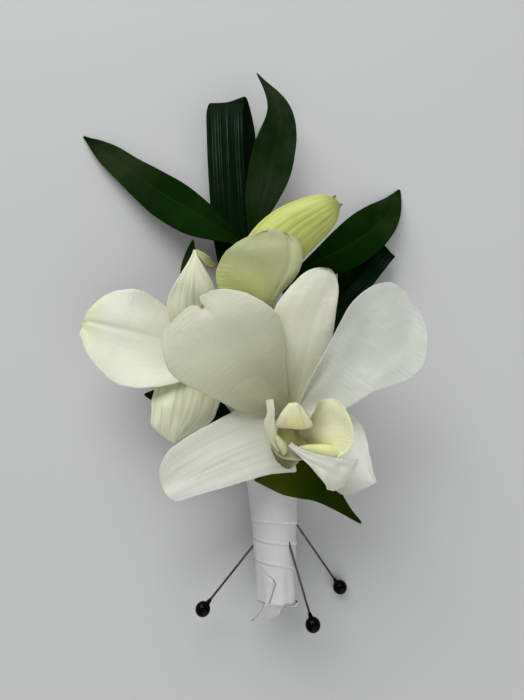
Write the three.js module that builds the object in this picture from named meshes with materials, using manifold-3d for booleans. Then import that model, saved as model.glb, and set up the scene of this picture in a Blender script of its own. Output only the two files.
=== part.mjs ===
// Boutonniere: two open orchid blooms, a half-open bud, dark leaves and folded strap leaves, bound in
// stem tape under a white satin ribbon, with three round-headed pins. It lies on its back.
// Millimetres. X is across, Y runs from the cut stem end to the leaf tips, Z is up from the surface.
// Places are measured from the point on the surface below the middle of the cut stem end.

import * as THREE from 'three';
import { mergeVertices } from 'three/addons/utils/BufferGeometryUtils.js';
import Module from 'manifold-3d';

const wasm = await Module();
wasm.setup();

// Where the middle of the finished part's outline lies, seen from above
const PART_MIDDLE = [-11.2, 74.5];

const CLEARANCE = 0.3;
const TEPAL_THICKNESS = 0.7;
const LEAF_THICKNESS = 0.8;
const END_HALF_WIDTH = 0.35;

// The stem bundle and the ribbon round it share a slightly leaning axis
const STEM_END = [0, 0.9, 10.5];
const STEM_TOP = [-1.8, 42, 12.1];
const BUNDLE_END_RADIUS = 4.7;
const BUNDLE_TOP_RADIUS = 6.6;
const STALK_RADIUS = 0.85;
const PEDICEL_RADIUS = 1.05;
const SOCKET_DEPTH = 9;
const SOCKET_RINGS = { inner: 1.7, outer: 4.7 };

const RIBBON_THICKNESS = 0.6;
const RIBBON_LAP = 0.4;
const RIBBON_TOP = 37;
const RIBBON_EDGES = [10.1, 15.6, 21];
const RIBBON_HEM = 1.3;

const PIN = {
  shaftRadius: 0.38,
  shaftLength: 36,
  headRadius: 2,
  neckRadius: 0.8,
  neckLength: 1.6,
  seatDepth: 2.2,
};

const COLOURS = {
  petal: '#e6e9dc',
  backPetal: '#dfe3c6',
  lip: '#dfe3b8',
  column: '#c3cc8c',
  cap: '#efe6bd',
  pedicel: '#a9bd78',
  bud: '#c3cf8c',
  leaf: '#1c3a20',
  strap: '#14271c',
  tape: '#4c6b46',
  ribbon: '#eceef2',
  steel: '#4a4646',
  head: '#0b0b0d',
};

const vec = ([x, y, z]) => new THREE.Vector3(x, y, z);
const mix = THREE.MathUtils.lerp;

function material(color, roughness = 0.6, metalness = 0) {
  return new THREE.MeshStandardMaterial({ color, roughness, metalness });
}

function spineCurve(points) {
  return new THREE.CatmullRomCurve3(points.map(vec), false, 'centripetal');
}

// A value read from an evenly spread list, t running from 0 to 1
function along(list, t) {
  const place = Math.min(t, 0.99999) * (list.length - 1);
  const first = Math.floor(place);
  const next = list[Math.min(first + 1, list.length - 1)];
  if (list[first].isVector3) {
    return list[first].clone().lerp(next, place - first);
  }
  return mix(list[first], next, place - first);
}

// Half the width of one side of a blade: it rises from the base to its widest station, then rounds off
function sideWidth({ width, at, base, tip }, t) {
  if (t < at) {
    return width * (base + (1 - base) * Math.sin((Math.PI / 2) * (t / at)));
  }
  const past = (t - at) / (1 - at);
  return Math.max(width * (1 - past ** tip) ** (1 / tip), END_HALF_WIDTH);
}

// The middle surface of a petal or leaf: t runs along its spine, side from -1 (left) to 1 (right).
// face lists the directions that it faces, or across lists the directions of its right side.
// Its half-widths are a left and a right outline or an evenly spread list. cup is the angle by which its
// edges turn up, and fold is the slope of its two halves.
function bladeSurface({ spine, face, across, left, right, halves, cup = [0], fold = [0] }) {
  const curve = spineCurve(spine);
  const faces = face?.map((f) => vec(f).normalize());
  const sides = across?.map((a) => vec(a).normalize());
  return (t, side) => {
    const tangent = curve.getTangentAt(t);
    const rightWay = sides ? along(sides, t) : tangent.clone().cross(along(faces, t));
    rightWay.addScaledVector(tangent, -rightWay.dot(tangent)).normalize();
    const normal = rightWay.clone().cross(tangent);
    const half = halves ? along(halves, t) : sideWidth(side < 0 ? left : right, t);
    const angle = along(cup, t) || 1e-6;
    const reach = (half * Math.sin(angle * side)) / angle;
    const lift = (half * (1 - Math.cos(angle * side))) / angle + along(fold, t) * half * Math.abs(side);
    return curve.getPointAt(t).addScaledVector(rightWay, reach).addScaledVector(normal, lift);
  };
}

// A closed thin body on both sides of a surface, split into triangles alike on both faces
function thickSheet(surface, thickness, lengthSteps, widthSteps, crowding) {
  const positions = [];
  const step = 0.004;
  for (const face of [1, -1]) {
    for (let i = 0; i <= lengthSteps; i += 1) {
      const t = 1 - (1 - i / lengthSteps) ** crowding;
      for (let j = 0; j <= widthSteps; j += 1) {
        const side = (2 * j) / widthSteps - 1;
        const before = Math.max(t - step, 0);
        const after = Math.min(t + step, 1 - 1e-6);
        const lengthWay = surface(after, side).sub(surface(before, side));
        const widthWay = surface(t, Math.min(side + step, 1)).sub(surface(t, Math.max(side - step, -1)));
        const normal = widthWay.cross(lengthWay).normalize();
        const point = surface(t, side).addScaledVector(normal, (face * thickness) / 2);
        point.toArray(positions, positions.length);
      }
    }
  }
  const row = widthSteps + 1;
  const back = row * (lengthSteps + 1);
  const index = [];
  const quad = (a, b, c, d) => index.push(a, b, c, a, c, d);
  for (let i = 0; i < lengthSteps; i += 1) {
    for (let j = 0; j < widthSteps; j += 1) {
      const a = i * row + j;
      quad(a, a + 1, a + row + 1, a + row);
      quad(back + a, back + a + row, back + a + row + 1, back + a + 1);
    }
    const start = i * row;
    const end = start + row - 1;
    quad(start, start + row, back + start + row, back + start);
    quad(end, back + end, back + end + row, end + row);
  }
  for (let j = 0; j < widthSteps; j += 1) {
    const last = lengthSteps * row + j;
    quad(j, back + j, back + j + 1, j + 1);
    quad(last, last + 1, back + last + 1, back + last);
  }
  return closedGeometry(positions, index);
}

function closedGeometry(positions, index) {
  const geometry = new THREE.BufferGeometry();
  geometry.setAttribute('position', new THREE.Float32BufferAttribute(positions, 3));
  geometry.setIndex(index);
  return geometry;
}

function blade(shape, { thickness = TEPAL_THICKNESS, steps = [11, 6], crowding = 1.6 } = {}) {
  return solid(thickSheet(bladeSurface(shape), thickness, ...steps, crowding));
}

// A closed body through a list of rings, each a list of the same number of points
function loft(rings) {
  const count = rings[0].length;
  const positions = rings.flat().flatMap((point) => point.toArray());
  const index = [];
  for (let i = 0; i < rings.length - 1; i += 1) {
    for (let j = 0; j < count; j += 1) {
      const a = i * count + j;
      const b = i * count + ((j + 1) % count);
      index.push(a, b, b + count, a, b + count, a + count);
    }
  }
  const last = (rings.length - 1) * count;
  for (const [ring, first, flip] of [[rings[0], 0, true], [rings.at(-1), last, false]]) {
    const middle = positions.length / 3;
    const centre = ring.reduce((sum, point) => sum.add(point), new THREE.Vector3()).divideScalar(count);
    centre.toArray(positions, positions.length);
    for (let j = 0; j < count; j += 1) {
      const pair = [first + j, first + ((j + 1) % count)];
      index.push(middle, ...(flip ? pair.reverse() : pair));
    }
  }
  return solid(closedGeometry(positions, index));
}

// A round body that follows a curve, with radii spread evenly along it
function stalk(points, radii, { sides = 8, steps = 14, ribs = 0, ribHeight = 0 } = {}) {
  const curve = spineCurve(points);
  const frames = curve.computeFrenetFrames(steps);
  const rings = [];
  for (let i = 0; i <= steps; i += 1) {
    const t = i / steps;
    const centre = curve.getPointAt(t);
    const ring = [];
    for (let j = 0; j < sides; j += 1) {
      const angle = (2 * Math.PI * j) / sides;
      const radius = along(radii, t) * (1 + ribHeight * Math.cos(ribs * angle));
      ring.push(
        centre
          .clone()
          .addScaledVector(frames.normals[i], radius * Math.cos(angle))
          .addScaledVector(frames.binormals[i], radius * Math.sin(angle)),
      );
    }
    rings.push(ring);
  }
  return loft(rings);
}

// A geometry as a closed body that can be joined with others and cut
function solid(geometry) {
  const bare = geometry.clone();
  bare.deleteAttribute('normal');
  bare.deleteAttribute('uv');
  const merged = mergeVertices(bare, 1e-4);
  return new wasm.Manifold(
    new wasm.Mesh({
      numProp: 3,
      vertProperties: new Float32Array(merged.attributes.position.array),
      triVerts: new Uint32Array(merged.index.array),
    }),
  );
}

function joined(bodies) {
  return bodies.reduce((all, body) => all.add(body));
}

function namedMesh(name, body, finish) {
  const { vertProperties, triVerts } = body.getMesh();
  const geometry = closedGeometry(Array.from(vertProperties), Array.from(triVerts));
  geometry.computeVertexNormals();
  const mesh = new THREE.Mesh(geometry, finish);
  mesh.name = name;
  return mesh;
}

function rod(from, to, radius, sides = 10) {
  const start = vec(from);
  const way = vec(to).sub(start);
  const length = way.length();
  const turn = new THREE.Quaternion().setFromUnitVectors(new THREE.Vector3(0, 1, 0), way.normalize());
  const geometry = new THREE.CylinderGeometry(radius, radius, length, sides);
  geometry.translate(0, length / 2, 0);
  geometry.applyQuaternion(turn);
  geometry.translate(...from);
  return solid(geometry);
}

// Stem bundle

const bundleAxis = vec(STEM_TOP).sub(vec(STEM_END)).normalize();

// A point on the bundle's axis at a height y
function axisPoint(y) {
  const start = vec(STEM_END);
  return start.addScaledVector(bundleAxis, (y - start.y) / bundleAxis.y);
}

function bundleRadius(y) {
  return mix(BUNDLE_END_RADIUS, BUNDLE_TOP_RADIUS, THREE.MathUtils.clamp((y - 6) / 26, 0, 1));
}

// The hole that a stalk stands in: its mouth and its bottom, angle 0 towards X and 90 towards Z
function socket(ring, degrees, radius = STALK_RADIUS) {
  const angle = THREE.MathUtils.degToRad(degrees);
  const offset = new THREE.Vector3(Math.cos(angle), 0, Math.sin(angle)).multiplyScalar(SOCKET_RINGS[ring]);
  const mouth = axisPoint(STEM_TOP[1]).add(offset);
  const bottom = axisPoint(STEM_TOP[1] - SOCKET_DEPTH).add(offset);
  return { mouth: mouth.toArray(), bottom: bottom.toArray(), radius };
}

const SOCKETS = {
  leafRight: socket('outer', 0),
  frontPedicel: socket('outer', 45, PEDICEL_RADIUS),
  leafBottom: socket('outer', 90),
  backPedicel: socket('outer', 135, PEDICEL_RADIUS),
  leafBehindLower: socket('outer', 180),
  leafLeft: socket('outer', 225),
  strapUpper: socket('outer', 270),
  strapRight: socket('outer', 315),
  budPedicel: socket('inner', 90, PEDICEL_RADIUS),
  leafBehindUpper: socket('inner', 210),
  leafTop: socket('inner', 330),
};

// The first points of a stalk that stands in a socket, clear of its bottom
function rooted({ mouth, bottom }) {
  const foot = vec(bottom).addScaledVector(bundleAxis, CLEARANCE);
  const past = vec(mouth).addScaledVector(bundleAxis, 1.5);
  return [foot.toArray(), mouth, past.toArray()];
}

// Rings round the bundle's axis at heights and radii listed as [y, radius]
function turned(profile, sides, tilt = 0) {
  return profile.map(([y, radius]) => {
    const centre = axisPoint(y);
    const ring = [];
    for (let j = 0; j < sides; j += 1) {
      const angle = (-2 * Math.PI * j) / sides;
      const x = radius * Math.cos(angle);
      ring.push(new THREE.Vector3(centre.x + x, centre.y + tilt * x, centre.z + radius * Math.sin(angle)));
    }
    return ring;
  });
}

const PINS = {
  left: { head: [-20, -1.7, 12.5], entry: [-6.4, 14.3, 10.3] },
  centre: { head: [9.1, -4.8, 15], entry: [3, 15.8, 15.6] },
  right: { head: [18.2, 1, 2], entry: [6.2, 18.4, 8.5] },
};

function pinWay({ head, entry }) {
  return vec(entry).sub(vec(head)).normalize();
}

// A point on a pin's axis, at a distance from the middle of its head
function pinPoint(pin, distance) {
  return vec(pin.head).addScaledVector(pinWay(pin), distance).toArray();
}

function pinHole(pin) {
  const from = pinPoint(pin, PIN.headRadius + 4);
  const to = pinPoint(pin, PIN.shaftLength + 0.4);
  return rod(from, to, PIN.shaftRadius + CLEARANCE);
}

function stemBundle() {
  const profile = [[STEM_END[1], BUNDLE_END_RADIUS * 0.9], [STEM_END[1] + 0.6, BUNDLE_END_RADIUS]];
  for (const y of [7, 13, 19, 25, 31, 37]) {
    profile.push([y, bundleRadius(y)]);
  }
  profile.push([STEM_TOP[1] - 0.8, BUNDLE_TOP_RADIUS], [STEM_TOP[1], BUNDLE_TOP_RADIUS - 0.7]);
  let body = loft(turned(profile, 20));
  for (const { mouth, bottom, radius } of Object.values(SOCKETS)) {
    const past = vec(mouth).addScaledVector(bundleAxis, 2).toArray();
    body = body.subtract(rod(bottom, past, radius + CLEARANCE));
  }
  for (const pin of Object.values(PINS)) {
    body = body.subtract(pinHole(pin));
  }
  return body;
}

// Ribbon wrap

function ribbonWrap() {
  const inner = (y) => bundleRadius(y) + CLEARANCE + 0.1;
  const outer = (y) => inner(y) + RIBBON_THICKNESS;
  const bottom = STEM_END[1] - CLEARANCE;
  const foot = bottom - RIBBON_THICKNESS;
  const profile = [[foot, outer(0) - 0.5], [foot + 0.4, outer(0) + RIBBON_LAP]];
  profile.push([RIBBON_HEM, outer(0) + RIBBON_LAP], [RIBBON_HEM + 0.1, outer(0)]);
  RIBBON_EDGES.forEach((edge) => {
    profile.push([edge - 0.1, outer(edge)], [edge, outer(edge) + RIBBON_LAP]);
  });
  for (const y of [25, 29, 33, RIBBON_TOP]) {
    profile.push([y, outer(y) + RIBBON_LAP]);
  }
  const cavity = [[bottom, inner(0)]];
  for (const y of [6, 13, 19, 25, 31, 37, RIBBON_TOP + 2]) {
    cavity.push([y, inner(y)]);
  }
  const sleeve = loft(turned(profile, 20, -0.1)).subtract(loft(turned(cavity, 20)));
  const tail = blade(RIBBON_TAIL, { thickness: RIBBON_THICKNESS, steps: [8, 4] });
  let body = sleeve.add(tail);
  for (const pin of Object.values(PINS)) {
    body = body.subtract(pinHole(pin));
  }
  return body;
}

const RIBBON_TAIL = {
  spine: [[-1.4, 0.9, 15.2], [-2.2, -1.4, 14], [-4.2, -4.4, 10.6], [-5.4, -6, 8]],
  face: [[0, -0.2, 1], [-0.2, -0.4, 1]],
  left: { width: 2.6, at: 0.3, base: 0.8, tip: 1.4 },
  right: { width: 3, at: 0.3, base: 0.9, tip: 2 },
  cup: [-0.3, 0.3],
};

// Pins

function pinShaft(pin) {
  const start = PIN.headRadius - PIN.seatDepth;
  const point = 3;
  const straight = PIN.shaftLength - point - start;
  const rings = [[0, 1], [straight, 1], [straight + point, 0.15]].map(([distance, scale]) => {
    const across = new THREE.Vector3(0, 0, 1).cross(pinWay(pin)).normalize();
    const other = pinWay(pin).cross(across);
    const ring = [];
    for (let j = 0; j < 8; j += 1) {
      const angle = (2 * Math.PI * j) / 8;
      const centre = vec(pinPoint(pin, start + distance));
      centre.addScaledVector(across, PIN.shaftRadius * scale * Math.cos(angle));
      ring.push(centre.addScaledVector(other, PIN.shaftRadius * scale * Math.sin(angle)));
    }
    return ring;
  });
  return loft(rings);
}

function pinHead(pin) {
  const ball = new THREE.SphereGeometry(PIN.headRadius, 14, 9);
  ball.translate(...pin.head);
  const neck = rod(pin.head, pinPoint(pin, PIN.headRadius + PIN.neckLength), PIN.neckRadius, 10);
  const seat = rod(
    pinPoint(pin, PIN.headRadius - PIN.seatDepth - CLEARANCE),
    pinPoint(pin, PIN.headRadius + PIN.neckLength + 1),
    PIN.shaftRadius + CLEARANCE,
  );
  return solid(ball).add(neck).subtract(seat);
}

// Front bloom, which faces up

const FRONT_TEPALS = {
  dorsal: {
    spine: [[3.7, 50.6, 27.6], [4.8, 58, 28.2], [7.1, 71, 29.6], [9.7, 81, 30.6], [12.3, 86.8, 31]],
    face: [[0, -0.1, 1], [0.1, 0.1, 1]],
    left: { width: 8, at: 0.5, base: 0.45, tip: 1.8 },
    right: { width: 6.6, at: 0.6, base: 0.2, tip: 1.9 },
    cup: [0.5, -0.3],
  },
  petalLeft: {
    spine: [
      [3.2, 51.3, 28.7], [-2.7, 55.6, 33], [-9.5, 61.4, 35.6], [-17.3, 68.2, 36.4], [-24.6, 74.4, 35.2],
    ],
    face: [[0.4, -0.3, 1], [-0.1, 0.1, 1]],
    left: { width: 11.9, at: 0.67, base: 0.2, tip: 2 },
    right: { width: 15.4, at: 0.54, base: 0.02, tip: 1.95 },
    cup: [0.3, 0.12],
  },
  petalRight: {
    spine: [[4.5, 51.2, 29.1], [11.5, 56.4, 31], [20.3, 62.6, 32.4], [30, 69, 32.4], [35.6, 73, 31.6]],
    face: [[-0.3, -0.3, 1], [0, 0, 1]],
    left: { width: 13.6, at: 0.84, base: 0.12, tip: 3.2 },
    right: { width: 11.4, at: 0.66, base: 0.25, tip: 2.4 },
    cup: [0.5, 0.25],
  },
  sepalLeft: {
    spine: [
      [3.2, 44.5, 26.8], [-4.2, 42.6, 28.2], [-13.4, 39.2, 29.4], [-22, 35.4, 29.4], [-28.6, 32.6, 28.2],
    ],
    face: [[0, -0.2, 1], [0, -0.1, 1]],
    left: { width: 8, at: 0.4, base: 0.95, tip: 3.6 },
    right: { width: 7.4, at: 0.4, base: 0.98, tip: 2.6 },
    cup: [-0.3, -0.35],
  },
  sepalRight: {
    spine: [[4, 46.5, 26.8], [10, 45.4, 27.6], [15, 42, 28], [17.6, 36.6, 27.6], [18.6, 30.6, 26]],
    face: [[0.1, 0, 1], [0.1, -0.1, 1]],
    left: { width: 7.4, at: 0.7, base: 0.6, tip: 5 },
    right: { width: 7, at: 0.6, base: 0.6, tip: 2.6 },
    cup: [-0.2, -0.3],
  },
};

const FRONT_CHIN = {
  spine: [[3.9, 54.4, 27.4], [3.8, 51.4, 27.2], [3.5, 47, 26.4], [3.1, 42, 27.2], [2.9, 37.8, 29.6]],
  radii: [1.6, 2.9, 3.2, 3.5, 1.9],
};

const FRONT_COLUMN = {
  post: [[3.7, 49.6, 26.6], [3.6, 49.2, 31], [3.4, 48.4, 35], [3.3, 47.6, 38]],
  radii: [1.6, 1.8, 2.5, 2.4],
  foot: {
    spine: [[3.5, 48.4, 31], [3.4, 45.6, 30.9], [3.3, 43, 31], [3.3, 41, 31.4]],
    face: [[0, 0, 1]],
    left: { width: 2.4, at: 0.6, base: 0.8, tip: 3 },
    right: { width: 2.4, at: 0.6, base: 0.8, tip: 3 },
    cup: [0.3],
  },
  cap: { apex: [3.3, 51.6], corner: [4, 5.4], rounding: 0.7, bottom: 39, height: 1.6 },
};

const FRONT_LIP = {
  claw: {
    spine: [[3.3, 39.2, 29.4], [3.4, 38.8, 32], [4.2, 39.6, 35.2], [6.2, 40.6, 37.2]],
    face: [[0, 1, 0.4], [-0.1, 0.5, 1]],
    left: { width: 2.6, at: 0.7, base: 0.6, tip: 4 },
    right: { width: 3, at: 0.7, base: 0.6, tip: 4 },
    cup: [0.5, 0.3],
  },
  lobeLeft: {
    spine: [[2.6, 39.6, 33], [-0.4, 42, 36.4], [-1.7, 46.6, 39.6], [-1.5, 51.8, 41]],
    face: [[1, 0.5, 0.6], [1, 0, 0.35]],
    left: { width: 2.4, at: 0.4, base: 0.6, tip: 1.8 },
    right: { width: 2.4, at: 0.4, base: 0.6, tip: 1.8 },
    cup: [0.5, 0.5],
  },
  lobeRight: {
    spine: [[4.8, 40.2, 33.4], [9, 42.6, 35.4], [12.6, 45.6, 38], [16, 48.2, 39.6]],
    face: [[-0.5, 0.4, 1], [-0.5, 0.1, 1]],
    left: { width: 6.4, at: 0.66, base: 0.3, tip: 2.4 },
    right: { width: 7, at: 0.5, base: 0.5, tip: 2.6 },
    cup: [0.6, 0.3],
  },
  midLobe: {
    spine: [[7.4, 41.4, 36.8], [9, 38.8, 38.8], [11.4, 34.6, 39.6], [13.4, 30.8, 38.6]],
    face: [[-0.1, 0.3, 1], [0.1, -0.1, 1]],
    left: { width: 5.2, at: 0.2, base: 0.7, tip: 1.35 },
    right: { width: 6.4, at: 0.3, base: 0.6, tip: 1.4 },
    cup: [-0.3, -0.2],
  },
  ridge: [[4.6, 41.4, 36.9], [7.6, 41.2, 38], [11, 40.2, 39]],
};

// Back bloom, which faces down and shows its outside

const BACK_TEPALS = {
  petalLeft: {
    spine: [[-21.6, 68.4, 18.5], [-33, 70, 20], [-43.5, 72.4, 20.8], [-54.2, 75, 19.2]],
    face: [[0, 0, 1]],
    left: { width: 15.4, at: 0.56, base: 0.2, tip: 2.1 },
    right: { width: 12.4, at: 0.62, base: 0.2, tip: 2.6 },
    cup: [-0.4],
  },
  sepalUpper: {
    spine: [
      [-22, 69, 18.5], [-23, 76, 21.5], [-23, 84, 23], [-22, 91, 22.6], [-20.6, 95.4, 20.6], [-18.6, 94.6, 18],
    ],
    face: [[0, -0.3, 1], [0, -0.1, 1], [0, 0.1, 1], [0, 0.5, 1], [0.2, 1, 0.5]],
    left: { width: 6.6, at: 0.28, base: 0.5, tip: 1.3 },
    right: { width: 7, at: 0.36, base: 0.5, tip: 1.4 },
    cup: [-0.4],
  },
  sepalLower: {
    spine: [[-22, 67, 18.5], [-23, 60.5, 21], [-24.6, 52.5, 21.8], [-26.8, 46.5, 19.8], [-28, 43, 17]],
    face: [[0, 0.3, 1], [0, 0, 1], [0, -0.5, 1]],
    left: { width: 8.2, at: 0.6, base: 0.6, tip: 1.8 },
    right: { width: 9.2, at: 0.6, base: 0.5, tip: 1.8 },
    cup: [-0.5],
  },
  petalRight: {
    spine: [[-21.6, 68, 18.6], [-14, 69.2, 20.2], [-6.5, 70.4, 21], [1, 71.8, 20.8]],
    face: [[0, 0, 1]],
    left: { width: 6.6, at: 0.6, base: 0.3, tip: 2.2 },
    right: { width: 7, at: 0.6, base: 0.3, tip: 2.2 },
    cup: [-0.3],
  },
  sepalInner: {
    spine: [[-22, 67, 17.6], [-16, 63, 16.6], [-9.6, 60, 15.4]],
    face: [[0, 0, 1]],
    left: { width: 5, at: 0.5, base: 0.6, tip: 1.9 },
    right: { width: 5, at: 0.5, base: 0.6, tip: 1.9 },
    cup: [-0.4],
  },
};

const BACK_CHIN = {
  spine: [[-22.4, 70.4, 17.4], [-22.2, 68.2, 18.4], [-21.6, 66, 19.6], [-20.6, 63.4, 20.6]],
  radii: [1.6, 2.8, 2.6, 1.2],
};

const BACK_COLUMN = {
  post: [[-22.4, 68, 18], [-22.8, 67.4, 14], [-23.4, 66.6, 10]],
  radii: [1.4, 1.7, 2.2],
};

const BACK_LIP = {
  spine: [[-22, 63.8, 17.4], [-22.4, 63.2, 14.8], [-24, 62, 12], [-27, 61.4, 10]],
  face: [[0, 1, -0.3], [0, 1, -1], [0, 0.4, -1]],
  left: { width: 5.4, at: 0.6, base: 0.3, tip: 1.8 },
  right: { width: 5.4, at: 0.6, base: 0.3, tip: 1.8 },
  cup: [0.9, 0.5],
};

// Bud and its opened outer sepal

const BUD = {
  spine: [[-9.8, 80.6, 18.8], [-5.4, 90.4, 20], [2.6, 99, 21.4], [11, 105.2, 22.8], [17.2, 108.4, 23.6]],
  radii: [2.1, 4.2, 6.1, 7.3, 7.8, 7.7, 6.8, 4.8, 1.8],
};

const BUD_SEPAL = {
  spine: [[-9.2, 78.4, 21.4], [-7.2, 82.6, 25.8], [-5.2, 88.6, 28.8], [-3.6, 94.2, 30], [-2.4, 98.7, 30.4]],
  face: [[0, -0.6, 1], [0, 0, 1], [0, 0.2, 1]],
  left: { width: 10.6, at: 0.48, base: 0.4, tip: 2.3 },
  right: { width: 11.6, at: 0.54, base: 0.15, tip: 2.5 },
  cup: [-0.5, -0.3],
};

// Leaves: each has a blade and the stalk that joins it to its socket

const LEAF_OUTLINE = { width: 6.2, at: 0.45, base: 0.12, tip: 1.3 };

const LEAVES = {
  leaf_left: {
    socket: SOCKETS.leafLeft,
    stalk: [[-7.5, 60, 8.2], [-10, 85, 9], [-10.9, 99, 9.4], [-13.4, 105, 8.8]],
    spine: [
      [-10.9, 103.4, 9], [-21.8, 109.3, 8], [-36.6, 120.3, 5], [-50.4, 131.5, 2.6], [-63.6, 141.6, 0.4],
    ],
    face: [[0, 0, 1]],
    left: LEAF_OUTLINE,
    right: LEAF_OUTLINE,
    fold: [0.12],
  },
  leaf_top: {
    socket: SOCKETS.leafTop,
    stalk: [[-1.5, 60, 11], [-4.5, 82, 10.6], [-7.3, 99, 9.8], [-6.9, 106.5, 9.8]],
    spine: [[-7.5, 104, 9.6], [-3.6, 116, 10], [-1.2, 129, 11], [0.4, 142, 13], [-5.4, 155.6, 12]],
    face: [[0, 0, 1], [0.1, 0, 1], [0.2, 0, 1], [0.8, 0, 1], [1.4, 0.2, 0.8]],
    left: LEAF_OUTLINE,
    right: LEAF_OUTLINE,
    fold: [0.12],
  },
  leaf_right: {
    socket: SOCKETS.leafRight,
    stalk: [[4, 60, 11.5], [3.6, 76, 10.4], [2.6, 86, 9.4], [5, 91, 9.3]],
    spine: [[3, 89, 9.2], [11, 94.8, 9.8], [23.8, 102, 9], [35.2, 112.4, 5], [41, 122.4, 0.42]],
    face: [[0, 0, 1]],
    left: { width: 6.6, at: 0.5, base: 0.12, tip: 1.35 },
    right: { width: 6.6, at: 0.44, base: 0.12, tip: 1.25 },
    fold: [0.12],
  },
  leaf_bottom: {
    socket: SOCKETS.leafBottom,
    stalk: [[-2.6, 45.4, 18.8], [-5.2, 45.4, 21.6], [-7.4, 41, 22.8], [-7.2, 36, 22.1], [-4.4, 32.9, 21.5]],
    spine: [[-6.3, 32.8, 21.4], [2.2, 32.8, 22.3], [11.2, 29.4, 22.3], [21, 22, 20.4]],
    face: [[0, 0, 1]],
    left: { width: 4.8, at: 0.4, base: 0.12, tip: 1.3 },
    right: { width: 4, at: 0.36, base: 0.12, tip: 1.25 },
    fold: [0.1],
  },
  leaf_behind_upper: {
    socket: SOCKETS.leafBehindUpper,
    stalk: [[-5.5, 50, 12], [-8, 56, 12.4], [-10, 61, 12.5]],
    spine: [[-9, 58, 12.5], [-14, 70, 12.8], [-20.6, 82, 11.8], [-24.6, 93, 10.4], [-25.3, 102.9, 8.5]],
    face: [[0, 0, 1]],
    left: { width: 4.6, at: 0.5, base: 0.15, tip: 1.3 },
    right: { width: 4.6, at: 0.5, base: 0.15, tip: 1.3 },
    fold: [0.12],
  },
  leaf_behind_lower: {
    socket: SOCKETS.leafBehindLower,
    stalk: [[-9, 46.8, 11], [-12, 49.2, 9.9], [-15, 50.6, 8.8]],
    spine: [[-13, 49.6, 9.5], [-22, 53.5, 7], [-30, 55.8, 5.6], [-38.6, 57, 5]],
    face: [[0, 0, 1]],
    left: { width: 4.6, at: 0.45, base: 0.15, tip: 1.3 },
    right: { width: 4.6, at: 0.45, base: 0.15, tip: 1.3 },
    fold: [0.12],
  },
};

// Strap leaves, each folded over at its far end, with both its ends in one socket. The right one has a
// second strap, its partner, which lies flat between the two strands of the loop.

const STRAPS = {
  strap_loop_upper: {
    socket: SOCKETS.strapUpper,
    stalk: [[-2.4, 47, 7], [-3.2, 52, 6.6]],
    spine: [
      [-2.4, 47, 7.4], [-5.2, 62, 6.4], [-9.6, 82, 6], [-14.4, 104, 6.2], [-15.4, 122, 7.2],
      [-15.6, 138, 8.6], [-15.6, 146, 9], [-14.6, 150.2, 6.8], [-12.8, 146, 4.4], [-11.2, 136, 3.4],
      [-10.8, 120, 3], [-9.4, 98, 3.2], [-6, 72, 4], [-3.6, 56, 5.2], [-2.4, 47, 6.6],
    ],
    across: [[1, 0.1, 0], [1, 0.14, 0], [1, 0.1, 0]],
    halves: [1, 3.4, 5, 5.5, 5.6, 5.6, 5.6, 5.6, 5.6, 5.5, 5.4, 5, 3.4, 1],
  },
  strap_loop_right: {
    socket: SOCKETS.strapRight,
    stalk: [[3, 47, 8], [5, 51, 7.4]],
    spine: [
      [3, 47, 8.2], [8.4, 60, 6.6], [16, 74, 5.8], [22.6, 85, 5.6], [28.4, 92, 5.6], [33.6, 98.6, 5.4],
      [35.6, 101.2, 4.2],
      [30.4, 98.2, 2.8], [22.6, 91.6, 2.6], [17, 81, 2.8], [11.2, 68, 4], [6, 56, 6], [3, 47, 7.6],
    ],
    across: [[1, -0.4, 0], [1, -0.8, 0], [1, -0.4, 0]],
    halves: [1, 2.2, 2.6, 2.6, 2.6, 2.6, 2.6, 2.6, 2.2, 1],
    partner: {
      spine: [[5, 52, 7], [10.6, 62, 5.6], [16.4, 74, 4.3], [20.6, 84, 4.2], [22.4, 93, 4.2], [23.4, 101, 4.3]],
      face: [[0, 0, 1]],
      halves: [1, 2.2, 3.4, 4.2, 4.4, 4.2, 3, 0.5],
    },
  },
};

// Stalks of the blooms and the bud

const PEDICELS = {
  front_bloom_pedicel: {
    socket: SOCKETS.frontPedicel,
    path: [[2.4, 46.4, 17.6], [3.6, 50, 20.8], [3.8, 51.2, 25.6]],
  },
  back_bloom_pedicel: {
    socket: SOCKETS.backPedicel,
    path: [[-6.8, 49, 18.6], [-11, 57.4, 22.2], [-17, 63.4, 24.6], [-20.6, 65.6, 23], [-21.6, 66.6, 19.8]],
  },
  bud_pedicel: {
    socket: SOCKETS.budPedicel,
    path: [[-2.6, 55, 16], [-5.6, 68, 17.4], [-9, 77.4, 18.2], [-10, 81.4, 19]],
  },
};

// The hole that the end of a pedicel stands in
function pedicelSeat({ path }) {
  const end = vec(path.at(-1));
  const way = spineCurve(path).getTangentAt(1);
  const from = end.clone().addScaledVector(way, CLEARANCE);
  const to = end.clone().addScaledVector(way, -6);
  return rod(from.toArray(), to.toArray(), PEDICEL_RADIUS + CLEARANCE);
}

function pedicel({ socket: seat, path }) {
  return stalk([...rooted(seat), ...path], [PEDICEL_RADIUS], { sides: 8, steps: 14 });
}

// A shape grown by the clearance, for the slot that it stands in
function slotFor({ left, right, ...shape }) {
  const wider = (edge) => ({ ...edge, width: edge.width + CLEARANCE });
  const way = vec(shape.spine[0]).sub(vec(shape.spine[1])).normalize();
  const start = vec(shape.spine[0]).addScaledVector(way, CLEARANCE).toArray();
  const grown = { ...shape, spine: [start, ...shape.spine.slice(1)], left: wider(left), right: wider(right) };
  return blade(grown, { thickness: TEPAL_THICKNESS + 2 * CLEARANCE });
}

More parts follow.
